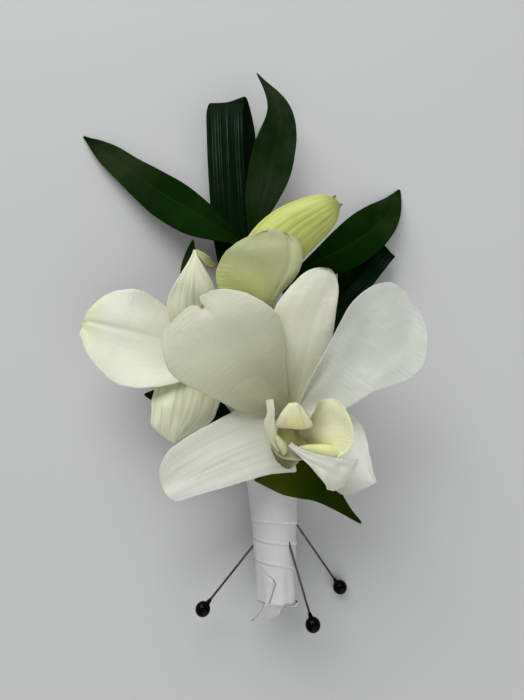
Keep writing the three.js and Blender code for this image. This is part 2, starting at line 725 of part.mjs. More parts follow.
// The hole that a column's foot stands in
function columnSeat({ post, radii }) {
  const way = vec(post[1]).sub(vec(post[0])).normalize();
  const from = vec(post[0]).addScaledVector(way, -CLEARANCE);
  const to = vec(post[0]).addScaledVector(way, 12);
  return rod(from.toArray(), to.toArray(), Math.max(radii[0], radii[1]) + CLEARANCE, 14);
}

function bloomTepals(tepals, chin, seats) {
  const core = stalk(chin.spine, chin.radii, { sides: 14, steps: 8 });
  const whole = joined([core, ...Object.values(tepals).map((shape) => blade(shape))]);
  return seats.reduce((body, seat) => body.subtract(seat), whole);
}

function frontLip() {
  const { ridge, ...blades } = FRONT_LIP;
  const lobes = Object.values(blades).map((shape) => blade(shape, { steps: [8, 6] }));
  return joined([...lobes, stalk(ridge, [0.5, 0.9, 0.5], { sides: 8, steps: 6 })]);
}

function frontColumn() {
  const post = stalk(FRONT_COLUMN.post, FRONT_COLUMN.radii, { sides: 14, steps: 8 });
  return post.add(blade(FRONT_COLUMN.foot, { steps: [8, 4] }));
}

// The cap is a rounded triangle with its apex towards the dorsal sepal
function antherCap({ apex, corner, rounding, bottom, height }) {
  const outline = new THREE.Shape();
  outline.moveTo(0, 0);
  outline.quadraticCurveTo(-corner[0] * 0.75, -corner[1] * 0.3, -corner[0], -corner[1]);
  outline.quadraticCurveTo(0, -corner[1] * 0.85, corner[0], -corner[1]);
  outline.quadraticCurveTo(corner[0] * 0.75, -corner[1] * 0.3, 0, 0);
  const geometry = new THREE.ExtrudeGeometry(outline, {
    depth: height,
    bevelSize: rounding,
    bevelOffset: -rounding,
    bevelThickness: rounding,
    bevelSegments: 3,
    curveSegments: 6,
  });
  geometry.translate(apex[0], apex[1], bottom + rounding);
  return solid(geometry);
}

function leaf({ socket: seat, stalk: path, ...shape }) {
  const stem = stalk([...rooted(seat), ...path], [STALK_RADIUS, STALK_RADIUS, 0.7], { sides: 7, steps: 12 });
  return stem.add(blade(shape, { thickness: LEAF_THICKNESS, steps: [12, 4], crowding: 1.2 }));
}

function strap({ socket: seat, stalk: path, partner, ...loop }) {
  const stem = stalk([...rooted(seat), ...path], [STALK_RADIUS], { sides: 8, steps: 8 });
  const body = stem.add(blade(loop, { thickness: LEAF_THICKNESS, steps: [28, 1], crowding: 1 }));
  return partner ? body.add(blade(partner, { thickness: LEAF_THICKNESS, steps: [16, 2], crowding: 1 })) : body;
}

const finishes = {};
for (const [name, colour] of Object.entries(COLOURS)) {
  finishes[name] = material(colour);
}
finishes.leaf.roughness = 0.35;
finishes.strap.roughness = 0.4;
finishes.ribbon.roughness = 0.4;
finishes.head.roughness = 0.15;
Object.assign(finishes.steel, { roughness: 0.35, metalness: 0.9 });

const group = new THREE.Group();

function add(name, body, finish) {
  group.add(namedMesh(name, body, finish));
}

add('stem_bundle', stemBundle(), finishes.tape);
add('ribbon_wrap', ribbonWrap(), finishes.ribbon);
for (const [side, pin] of Object.entries(PINS)) {
  add(`pin_${side}_shaft`, pinShaft(pin), finishes.steel);
  add(`pin_${side}_head`, pinHead(pin), finishes.head);
}
for (const [name, shape] of Object.entries(PEDICELS)) {
  add(name, pedicel(shape), finishes.pedicel);
}
for (const [name, shape] of Object.entries(LEAVES)) {
  add(name, leaf(shape), finishes.leaf);
}
for (const [name, shape] of Object.entries(STRAPS)) {
  add(name, strap(shape), finishes.strap);
}

const frontSeats = [
  pedicelSeat(PEDICELS.front_bloom_pedicel),
  columnSeat(FRONT_COLUMN),
  slotFor(FRONT_LIP.claw),
];
add('front_bloom_tepals', bloomTepals(FRONT_TEPALS, FRONT_CHIN, frontSeats), finishes.petal);
add('front_bloom_lip', frontLip(), finishes.lip);
add('front_bloom_column', frontColumn(), finishes.column);
add('front_bloom_anther_cap', antherCap(FRONT_COLUMN.cap), finishes.cap);

const backSeats = [
  pedicelSeat(PEDICELS.back_bloom_pedicel),
  columnSeat(BACK_COLUMN),
  slotFor(BACK_LIP),
];
add('back_bloom_tepals', bloomTepals(BACK_TEPALS, BACK_CHIN, backSeats), finishes.backPetal);
add('back_bloom_lip', blade(BACK_LIP, { steps: [10, 6] }), finishes.lip);
const backColumn = stalk(BACK_COLUMN.post, BACK_COLUMN.radii, { sides: 12, steps: 6 });
add('back_bloom_column', backColumn, finishes.column);

const bud = stalk(BUD.spine, BUD.radii, { sides: 16, steps: 12, ribs: 3, ribHeight: 0.04 });
add('bud', bud.subtract(pedicelSeat(PEDICELS.bud_pedicel)), finishes.bud);
add('bud_outer_sepal', blade(BUD_SEPAL), finishes.bud);

group.position.set(-PART_MIDDLE[0], -PART_MIDDLE[1], 0);

export default group;
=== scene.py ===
"""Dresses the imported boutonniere: petals, lips, bud, leaves, satin ribbon and pins.

Places are in millimetres, measured as in the part's source: X across, Y from the cut stem end to the
leaf tips, Z up from the surface, from the point below the middle of the stem end.
"""

import logging
import math
from contextlib import contextmanager
from dataclasses import dataclass, field, replace
from enum import Enum
from typing import Callable, Iterator, Protocol, Sequence

import bmesh
import bpy
import numpy as np
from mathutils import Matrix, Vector


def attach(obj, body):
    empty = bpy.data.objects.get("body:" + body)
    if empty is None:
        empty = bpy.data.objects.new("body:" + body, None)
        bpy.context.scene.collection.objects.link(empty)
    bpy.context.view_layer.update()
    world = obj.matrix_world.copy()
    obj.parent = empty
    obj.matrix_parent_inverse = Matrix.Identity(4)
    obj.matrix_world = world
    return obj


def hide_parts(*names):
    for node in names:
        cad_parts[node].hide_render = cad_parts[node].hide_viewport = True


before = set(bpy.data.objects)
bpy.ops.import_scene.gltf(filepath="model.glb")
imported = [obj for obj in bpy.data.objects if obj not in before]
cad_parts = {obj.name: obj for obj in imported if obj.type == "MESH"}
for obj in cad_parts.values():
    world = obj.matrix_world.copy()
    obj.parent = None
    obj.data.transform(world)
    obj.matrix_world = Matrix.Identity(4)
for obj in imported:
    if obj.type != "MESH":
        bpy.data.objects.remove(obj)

log = logging.getLogger("boutonniere")

Array = np.ndarray
Piece = bpy.types.Object
Material = bpy.types.Material
Socket = bpy.types.NodeSocket
Point = tuple[float, float, float]
Colour = tuple[float, float, float]
Place = Callable[[Array, Array], Array]
Crowd = Callable[[Array], Array]

MM = 0.001
PART_MIDDLE = np.array([-11.2, 74.5, 0.0])
MERGE_DISTANCE = 2e-6
TIP_CROWDING = 1.7
SIDE_THINNING = 5
TIP_THINNING = 9
PHOTO_SIZE = (524, 700)
FOCAL_PX = 527
CAMERA_PLACE = (-4.2, 44.6, 162.3)
CAMERA_TILT_DEG = 9.0
SENSOR_MM = 36.0


class Slot(Enum):
    """The record's material slots."""

    PETAL = "petal"
    PETAL_OUTSIDE = "petal_outside"
    LIP = "lip"
    COLUMN = "column"
    CAP = "anther_cap"
    PEDICEL = "pedicel"
    BUD = "bud"
    BUD_SEPAL = "bud_sepal"
    LEAF = "leaf"
    STRAP = "strap_leaf"
    TAPE = "stem_tape"
    RIBBON = "satin_ribbon"
    STEEL = "pin_steel"
    HEAD = "pin_head"


# Curves and surfaces


def unit(vectors: Array) -> Array:
    """Vectors of length 1."""
    return vectors / np.maximum(np.linalg.norm(vectors, axis=-1, keepdims=True), 1e-12)


def spread(values: Sequence, t: Array) -> Array:
    """Reads an evenly spread list, with straight steps between its entries.

    Args:
        values: numbers or points, evenly spread over t from 0 to 1.
        t: where to read.

    Returns:
        One entry for each t.
    """
    table = np.array(values, float)
    place = np.clip(t, 0, 1) * (len(table) - 1)
    first = np.minimum(place.astype(int), max(len(table) - 2, 0))
    share = place - first
    after = table[np.minimum(first + 1, len(table) - 1)]
    if table.ndim > 1:
        share = share[..., None]
    return table[first] + (after - table[first]) * share


def eased(values: Sequence[float], t: Array) -> Array:
    """Reads an evenly spread list of numbers through a smooth curve.

    Args:
        values: numbers, evenly spread over t from 0 to 1.
        t: where to read.

    Returns:
        One number for each t.
    """
    table = np.array([2 * values[0] - values[1], *values, 2 * values[-1] - values[-2]], float)
    place = np.clip(t, 0, 1) * (len(values) - 1)
    first = np.minimum(place.astype(int), len(values) - 2)
    s = place - first
    a, b, c, d = (table[first + k] for k in range(4))
    return b + 0.5 * s * (c - a + s * (2 * a - 5 * b + 4 * c - d + s * (3 * (b - c) + d - a)))


def smooth(low: float, high: float, value: Array) -> Array:
    """A smooth step from 0 at low to 1 at high."""
    share = np.clip((value - low) / (high - low), 0, 1)
    return share * share * (3 - 2 * share)


def bell(value: Array, middle: float, width: float) -> Array:
    """A bell curve, 1 at its middle."""
    return np.exp(-(((value - middle) / width) ** 2))


class Spine:
    """A smooth centripetal curve through points, read by its share of length."""

    SAMPLES = 400
    TANGENT_STEP = 0.004

    def __init__(self, points: Sequence[Point]) -> None:
        """Samples the curve.

        Args:
            points: the points that it goes through.
        """
        knots = np.array(points, float)
        knots = np.vstack([2 * knots[0] - knots[1], knots, 2 * knots[-1] - knots[-2]])
        pieces = len(knots) - 3
        t = np.linspace(0, pieces, self.SAMPLES)
        first = np.minimum(t.astype(int), pieces - 1)
        s = (t - first)[:, None]
        a, b, c, d = (knots[first + k] for k in range(4))
        gaps = (b - a, c - b, d - c)
        before, middle, after = (np.sqrt(np.linalg.norm(gap, axis=1))[:, None] for gap in gaps)
        start = middle * ((b - a) / before - (c - a) / (before + middle) + (c - b) / middle)
        end = middle * ((c - b) / middle - (d - b) / (middle + after) + (d - c) / after)
        self.points = b + s * (start + s * (3 * (c - b) - 2 * start - end + s * (2 * (b - c) + start + end)))
        steps = np.linalg.norm(np.diff(self.points, axis=0), axis=1)
        self.reach = np.concatenate([[0], np.cumsum(steps)])
        self.length = float(self.reach[-1])

    def at(self, t: Array) -> Array:
        """The points at shares t of the length."""
        reach = np.clip(t, 0, 1) * self.length
        return np.stack([np.interp(reach, self.reach, self.points[:, k]) for k in range(3)], axis=-1)

    def way(self, t: Array) -> Array:
        """The curve's directions at shares t of the length."""
        return unit(self.at(t + self.TANGENT_STEP) - self.at(t - self.TANGENT_STEP))


@dataclass(frozen=True)
class Edge:
    """One side's outline of a blade: it rises from the base to its widest station, then rounds off."""

    width: float
    at: float
    base: float
    tip: float

    END_HALF_WIDTH = 0.12

    def half_width(self, t: Array) -> Array:
        """The half-widths at shares t of the length.

        Args:
            t: shares of the length.

        Returns:
            Millimetres.
        """
        rise = self.width * (self.base + (1 - self.base) * np.sin(np.pi / 2 * np.clip(t / self.at, 0, 1)))
        past = np.clip((t - self.at) / (1 - self.at), 0, 1)
        fall = self.width * (1 - past**self.tip) ** (1 / self.tip)
        return np.maximum(np.where(t < self.at, rise, fall), self.END_HALF_WIDTH)


@dataclass(frozen=True)
class Ripple:
    """A row of waves along a margin, or across the whole blade where side is 0."""

    height: float
    waves: float
    phase: float = 0.0
    side: int = 0
    power: float = 2.0

    def lift(self, t: Array, side: Array) -> Array:
        """How far the waves lift the surface."""
        share = np.clip(side * self.side, 0, 1) if self.side else np.abs(side)
        return self.height * np.sin(2 * np.pi * (self.waves * t + self.phase)) * share**self.power


@dataclass(frozen=True)
class Uneven:
    """Soft unevenness all over a blade: a sum of seeded waves that run every way.

    height is in millimetres, and along and across are how many waves fit on the blade.
    """

    seed: int
    height: float = 0.3
    along: float = 2.2
    across: float = 1.1

    WAVES = 9
    STEADY_BASE = 0.2

    def lift(self, t: Array, side: Array) -> Array:
        """How far the waves lift the surface.

        Args:
            t: shares of the length.
            side: places across, from -1 to 1.

        Returns:
            Millimetres.
        """
        dice = np.random.default_rng(self.seed)
        total = np.zeros(np.broadcast(t, side).shape)
        for _ in range(self.WAVES):
            heading = dice.uniform(0, 2 * np.pi)
            phase = dice.uniform(0, 2 * np.pi)
            scale = dice.uniform(0.5, 1.6)
            run = self.along * np.cos(heading) * t + self.across * np.sin(heading) * side
            total = total + np.sin(2 * np.pi * scale * run + phase) / scale**0.7
        return self.height * total / math.sqrt(self.WAVES) * smooth(0, self.STEADY_BASE, t)


@dataclass(frozen=True)
class Dent:
    """A round hollow or swelling of a blade at a place on it."""

    height: float
    t: float
    side: float
    length: float
    width: float

    def lift(self, t: Array, side: Array) -> Array:
        """How far the swelling lifts the surface."""
        away = ((t - self.t) / self.length) ** 2 + ((side - self.side) / self.width) ** 2
        return self.height * np.exp(-away)


@dataclass(frozen=True)
class Crease:
    """A straight crease between two places (t, side), to the right of which a blade turns up or down.

    slope is the lift for each unit of t or side away from it, and soft how rounded the crease is. fade
    is how far from it and past its ends the lift dies away, or 0 where it doesn't.
    """

    start: tuple[float, float]
    end: tuple[float, float]
    slope: float
    soft: float = 0.03
    fade: float = 0.0

    def lift(self, t: Array, side: Array) -> Array:
        """How far the crease lifts the surface.

        Args:
            t: shares of the length.
            side: places across, from -1 to 1.

        Returns:
            Millimetres.
        """
        run, rise = self.end[0] - self.start[0], self.end[1] - self.start[1]
        length = math.hypot(run, rise)
        past = ((side - self.start[1]) * run - (t - self.start[0]) * rise) / length
        along = ((t - self.start[0]) * run + (side - self.start[1]) * rise) / length**2
        lift = self.slope * self.soft * np.logaddexp(0, past / self.soft)
        if self.fade:
            lift = lift * smooth(-self.fade, 0, along) * smooth(1 + self.fade, 1, along)
            lift = lift * bell(np.maximum(past, 0), 0, self.fade)
        return lift


Outline = Edge | tuple[float, ...]


@dataclass(frozen=True)
class Blade:
    """A petal or leaf: a thin blade along a spine.

    face lists the directions that it faces, or across those of its right side. Its half-widths are
    two outlines, or halves for both sides. cup is the angle by which its edges turn up, and fold the
    slope of its two halves. ribs run along it, and waver is how uneven its margins are, as a share of
    the width. nick is how deep its tip is notched and bow how far its tip's corners stand back, in
    millimetres.
    """

    spine: tuple[Point, ...]
    face: tuple[Point, ...] = ()
    across: tuple[Point, ...] = ()
    left: Outline = ()
    right: Outline = ()
    halves: tuple[float, ...] = ()
    cup: tuple[float, ...] = (0.0,)
    fold: tuple[float, ...] = (0.0,)
    reliefs: tuple[Ripple | Dent | Uneven | Crease, ...] = ()
    ribs: int = 0
    rib_height: float = 0.0
    waver: float = 0.0
    nick: float = 0.0
    bow: float = 0.0

    WAVER_WAVES = (2.3, 4.1, 7.7, 12.9)
    RIGHT_WAVER = 2.4
    NICK_WIDTH = 0.14
    TIP_FROM = 0.75

    def place(self, t: Array, side: Array) -> Array:
        """The points of its middle surface.

        Args:
            t: share of its length, 0 at the base.
            side: from -1 at the left margin to 1 at the right one.

        Returns:
            Points in millimetres.
        """
        curve = Spine(self.spine)
        way = curve.way(t)
        if self.across:
            right = spread(unit(np.array(self.across, float)), t)
        else:
            right = np.cross(way, spread(unit(np.array(self.face, float)), t))
        right = unit(right - way * np.sum(right * way, axis=-1, keepdims=True))
        normal = np.cross(right, way)
        half = self.half_width(t, side)
        angle = spread(self.cup, t)
        angle = np.where(np.abs(angle) < 1e-6, 1e-6, angle)
        reach = half * np.sin(angle * side) / angle
        lift = half * (1 - np.cos(angle * side)) / angle + spread(self.fold, t) * half * np.abs(side)
        lift += self.rib_height * np.cos(np.pi * self.ribs * side) * np.sin(np.pi * np.clip(t, 0, 1)) ** 0.5
        for relief in self.reliefs:
            lift += relief.lift(t, side)
        back = self.nick * bell(side, 0, self.NICK_WIDTH) + self.bow * side**2
        back = back * smooth(self.TIP_FROM, 1, t)
        return curve.at(t) + right * reach[..., None] + normal * lift[..., None] - way * back[..., None]

    def half_width(self, t: Array, side: Array) -> Array:
        """Half the blade's width at each point.

        Args:
            t: shares of the length.
            side: places across, from -1 to 1.

        Returns:
            Millimetres.
        """
        if self.halves:
            half = spread(self.halves, t)
        else:
            half = np.where(side < 0, self.outline(self.left, t), self.outline(self.right, t))
        for waves in self.WAVER_WAVES:
            phase = np.where(side < 0, waves, self.RIGHT_WAVER * waves)
            half = half * (1 + self.waver / waves**0.5 * np.sin(2 * np.pi * waves * t + phase))
        return half

    @staticmethod
    def outline(edge: Outline, t: Array) -> Array:
        """One side's half-widths.

        Args:
            edge: its outline, or half-widths at stations that crowd towards the tip.
            t: shares of the length.

        Returns:
            Half-widths in millimetres.
        """
        if isinstance(edge, Edge):
            return edge.half_width(t)
        station = 1 - (1 - np.clip(t, 0, 1)) ** (1 / TIP_CROWDING)
        return np.maximum(eased(edge, station), Edge.END_HALF_WIDTH)


@dataclass(frozen=True)
class Tube:
    """A round body along a spine, closed and rounded at both ends.

    Radii are spread evenly. up is the side that its seam turns away from, and ends are the shares of
    its length over which its two ends round off.
    """

    spine: tuple[Point, ...]
    radii: tuple[float, ...]
    up: Point = (0.0, 0.0, 1.0)
    ends: tuple[float, float] = (0.02, 0.02)
    relief: Place | None = None

    def place(self, t: Array, side: Array) -> Array:
        """The points of its surface, side running once round it from its underside.

        Args:
            t: shares of the length.
            side: places across, from -1 to 1.

        Returns:
            Points in millimetres.
        """
        curve = Spine(self.spine)
        way = curve.way(t)
        right = unit(np.cross(way, np.array(self.up, float)))
        up = np.cross(right, way)
        start = np.clip(1 - t / self.ends[0], 0, 1)
        end = np.clip(1 - (1 - t) / self.ends[1], 0, 1)
        radius = eased(self.radii, t) * np.sqrt(1 - start**2) * np.sqrt(1 - end**2)
        if self.relief:
            radius = radius * self.relief(t, side)
        angle = np.pi * side
        offset = up * np.cos(angle)[..., None] + right * np.sin(angle)[..., None]
        return curve.at(t) + offset * radius[..., None]


# Modelling


def pick_only(obj: Piece) -> None:
    """Selects one object and makes it the active one.

    Args:
        obj: the object.
    """
    bpy.ops.object.select_all(action="DESELECT")
    obj.select_set(True)
    bpy.context.view_layer.objects.active = obj


@contextmanager
def editing(obj: Piece, everything: bool = True) -> Iterator[None]:
    """Edit mode on one object, with all of it or nothing selected.

    Args:
        obj: the mesh object.
        everything: True to start with all selected.
    """
    pick_only(obj)
    bpy.ops.object.mode_set(mode="EDIT")
    bpy.ops.mesh.select_all(action="SELECT" if everything else "DESELECT")
    yield
    bpy.ops.object.mode_set(mode="OBJECT")


def pick_faces(obj: Piece, wanted: Callable[[bmesh.types.BMFace], bool]) -> None:
    """In edit mode, selects the faces that fit and nothing else.

    Args:
        obj: the object in edit mode.
        wanted: tells of a face whether it is to be selected.
    """
    bpy.ops.mesh.select_mode(type="FACE")
    bpy.ops.mesh.select_all(action="DESELECT")
    mesh = bmesh.from_edit_mesh(obj.data)
    for face in mesh.faces:
        face.select_set(wanted(face))
    bmesh.update_edit_mesh(obj.data)


def modify(obj: Piece, kind: str, **settings: object) -> None:
    """Adds a modifier and applies it.

    Args:
        obj: the object.
        kind: the modifier's type.
        settings: its settings by name.
    """
    pick_only(obj)
    modifier = obj.modifiers.new(kind.title(), kind)
    for name, value in settings.items():
        setattr(modifier, name, value)
    bpy.ops.object.modifier_apply(modifier=modifier.name)


def mesh_points(obj: Piece) -> Array:
    """An object's vertices.

    Args:
        obj: the mesh object.

    Returns:
        One row for each vertex, in metres.
    """
    points = np.zeros(len(obj.data.vertices) * 3, np.float32)
    obj.data.vertices.foreach_get("co", points)
    return points.reshape(-1, 3).astype(float)


def corner_vertices(obj: Piece) -> Array:
    """The number of the vertex at each corner of a mesh's faces.

    Args:
        obj: the mesh object.

    Returns:
        One number for each corner.
    """
    corners = np.zeros(len(obj.data.loops), np.int32)
    obj.data.loops.foreach_get("vertex_index", corners)
    return corners


def shaped_grid(name: str, steps: tuple[int, int], place: Place, crowd: Crowd) -> Piece:
    """A grid primitive whose vertices are moved onto a surface.

    Args:
        name: the object's name.
        steps: faces across and along.
        place: gives the surface's points in millimetres for shares t along and sides across.
        crowd: turns even shares into the ones that the rows stand at.

    Returns:
        The new object, with side and t as its UV map.
    """
    bpy.ops.object.select_all(action="DESELECT")
    bpy.ops.mesh.primitive_grid_add(x_subdivisions=steps[0], y_subdivisions=steps[1], size=2, calc_uvs=True)
    obj = bpy.context.active_object
    obj.name = name
    flat = mesh_points(obj)
    side = flat[:, 0]
    t = crowd((flat[:, 1] + 1) / 2)
    points = (place(t, side) - PART_MIDDLE) * MM
    obj.data.vertices.foreach_set("co", points.astype(np.float32).ravel())
    corners = corner_vertices(obj)
    uv = np.stack([(side[corners] + 1) / 2, t[corners]], axis=1)
    obj.data.uv_layers.active.data.foreach_set("uv", uv.astype(np.float32).ravel())
    obj.data.update()
    return obj


def towards_tip(q: Array) -> Array:
    """Rows that crowd towards a blade's tip."""
    return 1 - (1 - q) ** TIP_CROWDING


def towards_ends(q: Array) -> Array:
    """Rows that crowd towards both ends."""
    return 0.5 - 0.5 * np.cos(np.pi * q)


def evenly(q: Array) -> Array:
    """Rows that stand evenly."""
    return q


def close_up(obj: Piece) -> Piece:
    """Merges a mesh's doubles, turns its faces outwards and shades it smooth.

    Args:
        obj: the mesh object.

    Returns:
        The same object.
    """
    with editing(obj):
        bpy.ops.mesh.remove_doubles(threshold=MERGE_DISTANCE)
        bpy.ops.mesh.dissolve_degenerate(threshold=MERGE_DISTANCE / 4)
        bpy.ops.mesh.normals_make_consistent(inside=False)
    pick_only(obj)
    bpy.ops.object.shade_smooth()
    return obj


def thin_piece(
    name: str,
    place: Place,
    thickness: float,
    steps: tuple[int, int] = (28, 52),
    margin: float = 0.5,
    crowd: Crowd = towards_tip,
    rounds: int = 1,
) -> Piece:
    """A sheet with a rounded margin on both sides of a surface.

    Args:
        name: the object's name.
        place: the surface.
        thickness: in millimetres, in its middle.
        steps: faces across and along.
        margin: the margin's thickness as a share of it.
        crowd: where the rows stand.
        rounds: levels of subdivision that round its margin.

    Returns:
        The closed mesh object.
    """
    obj = shaped_grid(name, steps, place, crowd)
    group = obj.vertex_groups.new(name="body")
    corners = corner_vertices(obj)
    uv = np.zeros(len(corners) * 2, np.float32)
    obj.data.uv_layers.active.data.foreach_get("uv", uv)
    sides = np.zeros(len(obj.data.vertices))
    shares = np.zeros(len(obj.data.vertices))
    sides[corners] = np.abs(uv[0::2] * 2 - 1)
    shares[corners] = uv[1::2]
    weights = (1 - sides**SIDE_THINNING) * (1 - shares**TIP_THINNING)
    for index, weight in enumerate(weights):
        group.add([index], float(weight), "REPLACE")
    modify(
        obj,
        "SOLIDIFY",
        thickness=thickness * MM,
        offset=0,
        use_quality_normals=True,
        vertex_group="body",
        thickness_vertex_group=margin,
    )
    if rounds:
        modify(obj, "SUBSURF", levels=rounds, render_levels=rounds)
    return close_up(obj)


def round_piece(name: str, tube: Tube, steps: tuple[int, int] = (24, 48)) -> Piece:
    """A closed round body.

    Args:
        name: the object's name.
        tube: its shape.
        steps: faces round and along it.

    Returns:
        The mesh object.
    """
    return close_up(shaped_grid(name, steps, tube.place, towards_ends))


def joined(name: str, pieces: Sequence[Piece]) -> Piece:
    """Joins objects into one.

    Args:
        name: its name.
        pieces: the objects, which end in it.

    Returns:
        The one object.
    """
    pick_only(pieces[0])
    for piece in pieces:
        piece.select_set(True)
    bpy.ops.object.join()
    pieces[0].name = name
    return pieces[0]


def settle(piece: Piece, material: Material, slot: Slot, *nodes: str) -> None:
    """Gives a piece its finish and its place in the frame.

    Args:
        piece: the piece.
        material: its finish.
        slot: not used.
        nodes: the CAD nodes that it stands for.
    """
    piece.data.materials.clear()
    piece.data.materials.append(material)
    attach(piece, "root")
    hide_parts(*nodes)
    log.info("%s stands for %s, %d faces", piece.name, ", ".join(nodes), len(piece.data.polygons))


# Shader maths


class Worth:
    """A number in a material. Arithmetic on it adds Math nodes."""

    def __init__(self, bench: "Bench", socket: Socket) -> None:
        """Wraps a socket of the material that bench builds."""
        self.bench = bench
        self.socket = socket

    def _math(self, operation: str, *others: object) -> "Worth":
        """One Math node on this number and others."""
        values = dict(enumerate((self, *others)))
        return self.bench.worth("ShaderNodeMath", {"operation": operation}, values)

    def _flipped(self, operation: str, other: object) -> "Worth":
        """One Math node with the other number first."""
        return self.bench.worth("ShaderNodeMath", {"operation": operation}, {0: other, 1: self})

    def __add__(self, other: object) -> "Worth":
        """Sum."""
        return self._math("ADD", other)

    __radd__ = __add__

    def __sub__(self, other: object) -> "Worth":
        """Difference."""
        return self._math("SUBTRACT", other)

    def __rsub__(self, other: object) -> "Worth":
        """Difference from a number."""
        return self._flipped("SUBTRACT", other)

    def __mul__(self, other: object) -> "Worth":
        """Product."""
        return self._math("MULTIPLY", other)

    __rmul__ = __mul__

    def __truediv__(self, other: object) -> "Worth":
        """Quotient."""
        return self._math("DIVIDE", other)

    def __abs__(self) -> "Worth":
        """Size without sign."""
        return self._math("ABSOLUTE")

    def fraction(self) -> "Worth":
        """What stands after the point."""
        return self._math("FRACT")

    def sine(self) -> "Worth":
        """Sine."""
        return self._math("SINE")

    def step(self, low: float, high: float) -> "Worth":
        """A smooth step from 0 at low to 1 at high, either way round."""
        settings = {"interpolation_type": "SMOOTHSTEP", "clamp": True}
        values = {"Value": self, "From Min": low, "From Max": high}
        return self.bench.worth("ShaderNodeMapRange", settings, values)


class Bench:
    """Builds one material."""

    def __init__(self, name: str) -> None:
        """Starts an empty material, with the UV map and the object's coordinates at hand.

        Args:
            name: the material's name.
        """
        self.material = bpy.data.materials.new(name)
        self.material.use_nodes = True
        self.tree = self.material.node_tree
        self.tree.nodes.clear()
        uv = self.node("ShaderNodeUVMap", {})
        parts = self.node("ShaderNodeSeparateXYZ", {}, {0: uv.outputs[0]})
        self.uv = uv.outputs[0]
        self.u = Worth(self, parts.outputs[0])
        self.v = Worth(self, parts.outputs[1])
        self.object = self.node("ShaderNodeTexCoord", {}).outputs["Object"]

    def node(
        self,
        kind: str,
        settings: dict[str, object],
        values: dict[int | str, object] | None = None,
    ) -> bpy.types.Node:
        """Adds a node.

        Args:
            kind: its type.
            settings: its settings, which are set first.
            values: what its sockets hold or are linked to, by number, name or identifier.

        Returns:
            The node.
        """
        made = self.tree.nodes.new(kind)
        for name, value in settings.items():
            setattr(made, name, value)
        for key, value in (values or {}).items():
            socket = self._socket(made, key)
            value = value.socket if isinstance(value, Worth) else value
            if isinstance(value, Socket):
                self.tree.links.new(value, socket)
            elif isinstance(value, tuple) and socket.type == "RGBA":
                socket.default_value = (*value, 1)
            else:
                socket.default_value = value
        return made

    @staticmethod
    def _socket(node: bpy.types.Node, key: int | str) -> Socket:
        """An input of a node.

        Args:
            node: the node.
            key: the input's number, identifier or name.

        Returns:
            The input.
        """
        if isinstance(key, int):
            return node.inputs[key]
        found = [socket for socket in node.inputs if socket.identifier == key]
        return found[0] if found else node.inputs[key]

    def worth(self, kind: str, settings: dict[str, object], values: dict[int | str, object]) -> Worth:
        """Adds a node and wraps its first output."""
        return Worth(self, self.node(kind, settings, values).outputs[0])

    def noise(
        self, scale: float, detail: float = 2.0, stretch: Point = (1.0, 1.0, 1.0), on_uv: bool = False
    ) -> Worth:
        """A noise pattern.

        Args:
            scale: its scale, per metre, or per UV width.
            detail: its octaves.
            stretch: how much each way is squeezed.
            on_uv: True to follow the UV map.

        Returns:
            A number that is mostly between 0.3 and 0.7.
        """
        source = self.uv if on_uv else self.object
        mapped = self.node("ShaderNodeMapping", {}, {"Vector": source, "Scale": stretch})
        values = {"Vector": mapped.outputs[0], "Scale": scale, "Detail": detail}
        return self.worth("ShaderNodeTexNoise", {}, values)

    def mix(self, share: object, first: object, second: object) -> Socket:
        """A colour between two colours.

        Args:
            share: how much of the second.
            first: one colour.
            second: the other.

        Returns:
            The mixed colour.
        """
        values = {"Factor_Float": share, "A_Color": first, "B_Color": second}
        made = self.node("ShaderNodeMix", {"data_type": "RGBA"}, values)
        return next(socket for socket in made.outputs if socket.identifier == "Result_Color")

    def bump(self, height: Worth, distance: float) -> Socket:
        """The normal of a relief.

        Args:
            height: the relief.
            distance: what a height of 1 measures, in millimetres.

        Returns:
            The Bump node's output.
        """
        return self.node("ShaderNodeBump", {}, {"Height": height, "Distance": distance * MM}).outputs[0]

    def surface(self, **values: object) -> Material:
        """Adds the main shader and the output.

        Args:
            values: what its sockets hold, with _ for a space in their names.

        Returns:
            The material.
        """
        named = {name.replace("_", " "): value for name, value in values.items()}
        shader = self.node("ShaderNodeBsdfPrincipled", {}, named)
        self.node("ShaderNodeOutputMaterial", {}, {"Surface": shader.outputs[0]})
        return self.material

    def lines(self, count: float, wobble: float, width: float) -> Worth:
        """Fine lines that run along a blade, 1 on a line.

        Args:
            count: lines across it.
            wobble: how far they wander, in gaps.
            width: a line's width as a share of a gap.

        Returns:
            The lines.
        """
        wander = self.noise(3.0, 2.0, (1.5, 1.0, 1.0), on_uv=True)
        place = self.u * count + wander * wobble
        return (abs(place.fraction() - 0.5) * 2).step(width, 0.0)


# Finishes


